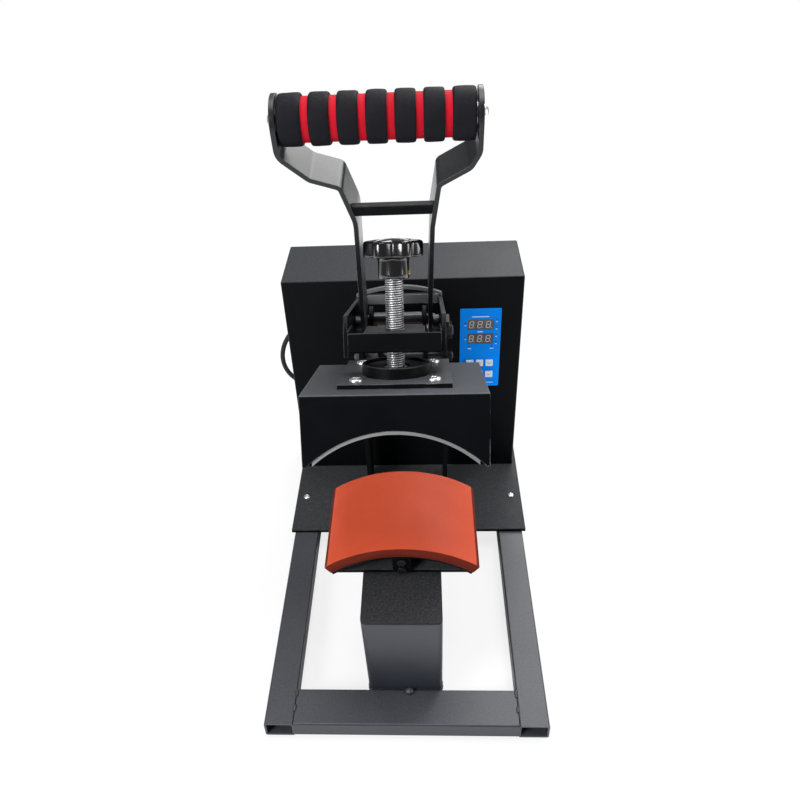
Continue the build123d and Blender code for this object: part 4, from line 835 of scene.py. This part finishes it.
head_screws = mesh_object("head_plate_screws", *joined(*[moved(big, spot) for spot in head_spots]), screw_zinc,
                          "heat_head", arm_frame, slot="zinc")
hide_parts("mount_screws")
print(len(spots + foot_spots + head_spots), "screws with cross slots")

# %% [markdown]
# ### The grip's end screws
# A low domed head closes each end of the grip. It is turned once and flipped for the other end.

# %% Grip end screws
grip_end = 0.0802
dome = lathe([(0.0030, -0.025), (0.0030, 0.0), (0.0065, 0.0), (0.0066, 0.0004), (0.0064, 0.0014), (0.0056, 0.0028),
              (0.0042, 0.0038), (0.0022, 0.0043), (0.0008, 0.0045)], 32)
end_places = (Matrix.Translation((0, 0, grip_end)),
              Matrix.Translation((0, 0, -grip_end)) @ Matrix.Rotation(pi, 4, "X"))
ends = mesh_object("grip_end_screws", *joined(*[moved(dome, place) for place in end_places]), screw_zinc, "lever",
                   grip_place, slot="zinc")
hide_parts("grip_screws")

# %% [markdown]
# ## Welds
# The frame is stitched together with short tack welds, and each shows as a small lumpy bead on a seam.
# A bead is a row of overlapping balls whose sizes vary; noise makes them lumpy.

# %% Weld beads
def bead(start, end, size, steps, seed):
    """A lumpy bead from start to end."""
    start, end = Vector(start), Vector(end)
    shapes = []
    for k in range(steps):
        centre = start.lerp(end, k / (steps - 1))
        ball = bmesh.new()
        bmesh.ops.create_icosphere(ball, subdivisions=2, radius=size * (0.85 + 0.3 * ((k * 7 + seed) % 5) / 5))
        points = []
        for v in ball.verts:
            lump = 1 + 0.18 * noise.noise(v.co * 900 + Vector((seed, k, 0)))
            points.append(centre + v.co * lump)
        index = {v: i for i, v in enumerate(ball.verts)}
        shapes.append((points, [tuple(index[v] for v in face.verts) for face in ball.faces]))
        ball.free()
    return joined(*shapes)


tube_top, weld_list = 0.0262, []
for sx in (-1, 1):
    weld_list.append(bead((sx * 0.113, -0.2215, tube_top), (sx * 0.1131, -0.2175, tube_top), 0.0016, 3, 1 + sx))
    weld_list.append(bead((sx * 0.113, -0.2045, tube_top), (sx * 0.1131, -0.1995, tube_top), 0.0018, 3, 4 + sx))
    weld_list.append(bead((sx * 0.0375, -0.1955, tube_top), (sx * 0.0375, -0.1890, 0.0265), 0.0014, 4, 6 + sx))
    weld_list.append(bead((sx * 0.0515, 0.096, 0.0302), (sx * 0.0515, 0.130, 0.0302), 0.0016, 14, 9 + sx))
weld_list.append(bead((0.0025, -0.2000, 0.0268), (0.0045, -0.2000, 0.0272), 0.0040, 2, 12))
base_welds = mesh_object("frame_welds", *joined(*weld_list), frame_black, "base", slot="black_powder", sharp=80)
arm_beads = []
for sx in (-1, 1):
    arm_beads.append(bead((sx * 0.0402, -0.2400, 0.0355), (sx * 0.0402, -0.2060, 0.0355), 0.0012, 14, 3 + sx))
    arm_beads.append(bead((sx * 0.0402, -0.0925, 0.0480), (sx * 0.0402, -0.0925, 0.0430), 0.0011, 4, 5 + sx))
arm_welds = mesh_object("arm_welds", *joined(*arm_beads), satin_black, "upper_arm", arm_frame, slot="black_powder",
                        sharp=80)
print("weld faces", len(base_welds.data.polygons) + len(arm_welds.data.polygons))

# %% [markdown]
# ## The control panel
# Behind each window sits a three-digit module. Unlit, its segments are pale slots in a dark face, so we cut thin
# hexagons and lay them just above it. The digits lean a little, as they do on real modules.

# %% Digits
panel_x = 0.0925


def flat_prism(outline, front, thick):
    """A flat outline in X and Z, standing out of a wall towards -Y."""
    return rings([[(x, y, z) for x, z in outline] for y in (front + thick, front)])


def segment(cx, cz, length, width, upright, slant=0.12):
    """One display segment, pointed at both ends and leaning with the digit."""
    half, w = length / 2, width / 2
    points = [(-half, 0), (-half + w, w), (half - w, w), (half, 0), (half - w, -w), (-half + w, -w)]
    if upright:
        points = [(-z, x) for x, z in points]
    return [(cx + x + slant * (cz + z), cz + z) for x, z in points]


def digit(cx, cz):
    """Seven segments and a point, for one digit centred on the window."""
    w, h, t = 0.0046, 0.0088, 0.00105
    shapes = [segment(0, dz, w - 0.0004, t, False) for dz in (-h / 2, 0, h / 2)]
    shapes += [segment(sx * w / 2, sz * h / 4, h / 2 - 0.0004, t, True) for sx in (-1, 1) for sz in (-1, 1)]
    dot = [(0.0036 + 0.00055 * cos(a), -h / 2 + 0.00055 * sin(a)) for a in circle(10)]
    return [[(cx + x, cz + z) for x, z in shape] for shape in shapes + [dot]]


prisms = [flat_prism(outline, 0.14168, 0.00025) for row_z in (0.256, 0.236) for column in (-1, 0, 1)
          for outline in digit(panel_x + column * 0.0100 - 0.0006, row_z)]
mesh_object("unlit_digits", *joined(*prisms), segment_grey, "base", slot="display_grey")
print(len(prisms), "segments and points")

# %% [markdown]
# ### Lamps and ticks
# Small unlit lamps stand beside the windows over short printed ticks. A lamp stands a little out of the film.

# %% Lamps and ticks
def disc(cx, cz, r, front, thick):
    """A small round prism on the panel."""
    return flat_prism([(cx + r * cos(a), cz + r * sin(a)) for a in circle(16)], front, thick)


def bar(cx, cz, w, h, front, thick):
    """A small printed bar."""
    corners = ((-1, -1), (1, -1), (1, 1), (-1, 1))
    return flat_prism([(cx + sx * w / 2, cz + sz * h / 2) for sx, sz in corners], front, thick)


film_face = 0.1414
ink = (film_face - 0.0001, 0.00015)
lamp_spots = [(0.0745, 0.2580), (0.0745, 0.2385), (0.1118, 0.2630), (0.1118, 0.2525), (0.1118, 0.2420),
              (0.1118, 0.2315), (0.0800, 0.2250), (0.1070, 0.2250)]
lamp_discs = [disc(x, z, 0.0009, film_face - 0.00035, 0.0004) for x, z in lamp_spots]
mesh_object("panel_lamps", *joined(*lamp_discs), led_dark, "base", slot="panel_blue")
tick_list = [bar(x, z - 0.0030, 0.0017, 0.0011, *ink) for x, z in lamp_spots[:6]]
tick_list += [bar(x, z - 0.0030, 0.0040, 0.0010, *ink) for x, z in lamp_spots[6:]]
tick_list += [bar(panel_x, 0.2672, 0.0200, 0.0011, *ink), bar(panel_x, 0.2460, 0.0065, 0.0011, *ink),
              bar(0.1045, 0.1705, 0.0120, 0.0008, *ink)]
mesh_object("panel_ticks", *joined(*tick_list), mark_white, "base", slot="key_white")
print(len(lamp_discs), "lamps and", len(tick_list), "ticks")

# %% [markdown]
# ### Key marks
# Each key has a small symbol: a chevron up or down, or a square. They ride on the keys, so they go in with them.

# %% Key marks
def chevron(cx, cz, size, direction):
    """A V-shaped mark that points up for direction 1 and down for -1."""
    t = size * 0.28
    pts = [(-size, -size * 0.4), (0, size * 0.55), (size, -size * 0.4), (size, -size * 0.4 - t), (0, size * 0.55 - t),
           (-size, -size * 0.4 - t)]
    return [(cx + x, cz + direction * z) for x, z in pts]


key_front, key_gap = 0.139, 0.012
key_ink = (key_front - 0.0001, 0.0002)
for number in range(1, 7):
    cx = panel_x + ((number - 1) % 3 - 1) * key_gap
    cz = 0.2015 if number < 4 else 0.1845
    if number in (1, 4):
        shape = joined(*[bar(cx + dx, cz, 0.0006, 0.0026, *key_ink) for dx in (-0.0016, 0.0016)],
                       *[bar(cx, cz + dz, 0.0026, 0.0005, *key_ink) for dz in (0.0011, -0.0011)])
    else:
        shape = flat_prism(chevron(cx, cz, 0.0024, 1 if number in (2, 5) else -1), *key_ink)
    mesh_object("key_mark_%d" % number, *shape, mark_blue, "key_%d" % number, slot="panel_blue")
print("keys marked")

# %% [markdown]
# ### The rocker's marks
# A mains rocker carries a stroke on one side and a ring on the other, both moulded a little proud of it.

# %% Switch marks
rock = Matrix.Translation((0.080, 0.234, 0.110)) @ Matrix.Rotation(-radians(8), 4, "Z")
mark_out, low, high = 0.0052, 0.0037, 0.0040
ring_rows = [[(mark_out + r * cos(a), y, r * sin(a)) for a in circle(24)]
             for r, y in ((0.0016, high), (0.0021, high), (0.0021, low), (0.0016, low))]
corners = ((-0.0003, -0.0018), (0.0003, -0.0018), (0.0003, 0.0018), (-0.0003, 0.0018))
stroke = rings([[(-mark_out + dx, y, dz) for dx, dz in corners] for y in (low, high)])
marks = mesh_object("rocker_marks", *joined(moved(rings(ring_rows + ring_rows[:1], False, False), rock),
                                            moved(stroke, rock)), mark_white, "rocker", slot="key_white")
print("rocker mark faces", len(marks.data.polygons))

# %% [markdown]
# ## The floor
# The picture is a cut-out on white, so the floor is pale, keeps a soft shadow near the press and fades to white away
# from it. Only the camera sees that fade: the press itself is lit by the plain paint.

# %% Floor
floor_mesh = bpy.data.meshes.new("floor")
floor_half, near_white = 2.2, 0.78
floor_corners = [(sx * floor_half, sy * floor_half, 0) for sx, sy in ((-1, -1), (1, -1), (1, 1), (-1, 1))]
floor_mesh.from_pydata(floor_corners, [], [(0, 1, 2, 3)])
floor = bpy.data.objects.new("floor", floor_mesh)
scene.collection.objects.link(floor)
floor_paint, tree, bsdf = plain("pale_floor", (0.90, 0.90, 0.90), 0.9)
glow = put(tree, "ShaderNodeEmission", Strength=1.0, Color=(1, 1, 1, 1))
path = tree.nodes.new("ShaderNodeLightPath")
place = put(tree, "ShaderNodeTexCoord").outputs["Object"]
distance = put(tree, "ShaderNodeVectorMath", operation="LENGTH", Vector=place)
white = vary(tree, near_white, mask_above(tree, distance.outputs["Value"], 0.35, 1.5), 1 - near_white)
mixed = put(tree, "ShaderNodeMixShader", Fac=math_node(tree, "MULTIPLY", path.outputs["Is Camera Ray"], white))
tree.links.new(bsdf.outputs[0], mixed.inputs[1])
tree.links.new(glow.outputs[0], mixed.inputs[2])
tree.links.new(mixed.outputs[0], tree.nodes["Material Output"].inputs["Surface"])
floor_mesh.materials.append(floor_paint)

# %% [markdown]
# ## Studio light
# Black paint shows what stands round it, so the studio itself stays dim and four softboxes do the work: one
# overhead, a wide one behind on the right that puts the sheen on every flat top, one at the front left, and a weak
# fill on the right.

# %% Softboxes
def softbox(name, place, aim, size, power):
    """A square area lamp that looks at a point."""
    lamp = bpy.data.lights.new(name, "AREA")
    lamp.shape = "SQUARE"
    lamp.size = size
    lamp.energy = power
    obj = bpy.data.objects.new(name, lamp)
    scene.collection.objects.link(obj)
    obj.location = place
    obj.rotation_euler = (Vector(aim) - Vector(place)).to_track_quat("-Z", "Y").to_euler()


softbox("overhead", (0.15, 0.0, 2.1), (0, 0, 0.2), 1.3, 28)
softbox("rear_right", (0.75, 1.75, 1.75), (0, 0, 0.25), 1.5, 48)
softbox("front_left", (-1.4, -1.5, 1.4), (0, 0, 0.25), 0.9, 50)
softbox("right_fill", (1.9, -0.5, 0.9), (0, 0, 0.25), 0.9, 16)
print(len(bpy.data.lights), "softboxes")

# %% [markdown]
# ### The world
# The camera sees a white world, while the press is lit and mirrored by a dim one.

# %% World
studio_dim = 0.16
world = bpy.data.worlds.new("studio")
scene.world = world
world.use_nodes = True
tree = world.node_tree
sky = tree.nodes["Background"]
sky.inputs["Color"].default_value = (1, 1, 1, 1)
path = tree.nodes.new("ShaderNodeLightPath")
seen = math_node(tree, "MAXIMUM", path.outputs["Is Camera Ray"], path.outputs["Is Transmission Ray"])
tree.links.new(vary(tree, studio_dim, seen, 1 - studio_dim), sky.inputs["Strength"])
scene.view_settings.view_transform = "Standard"
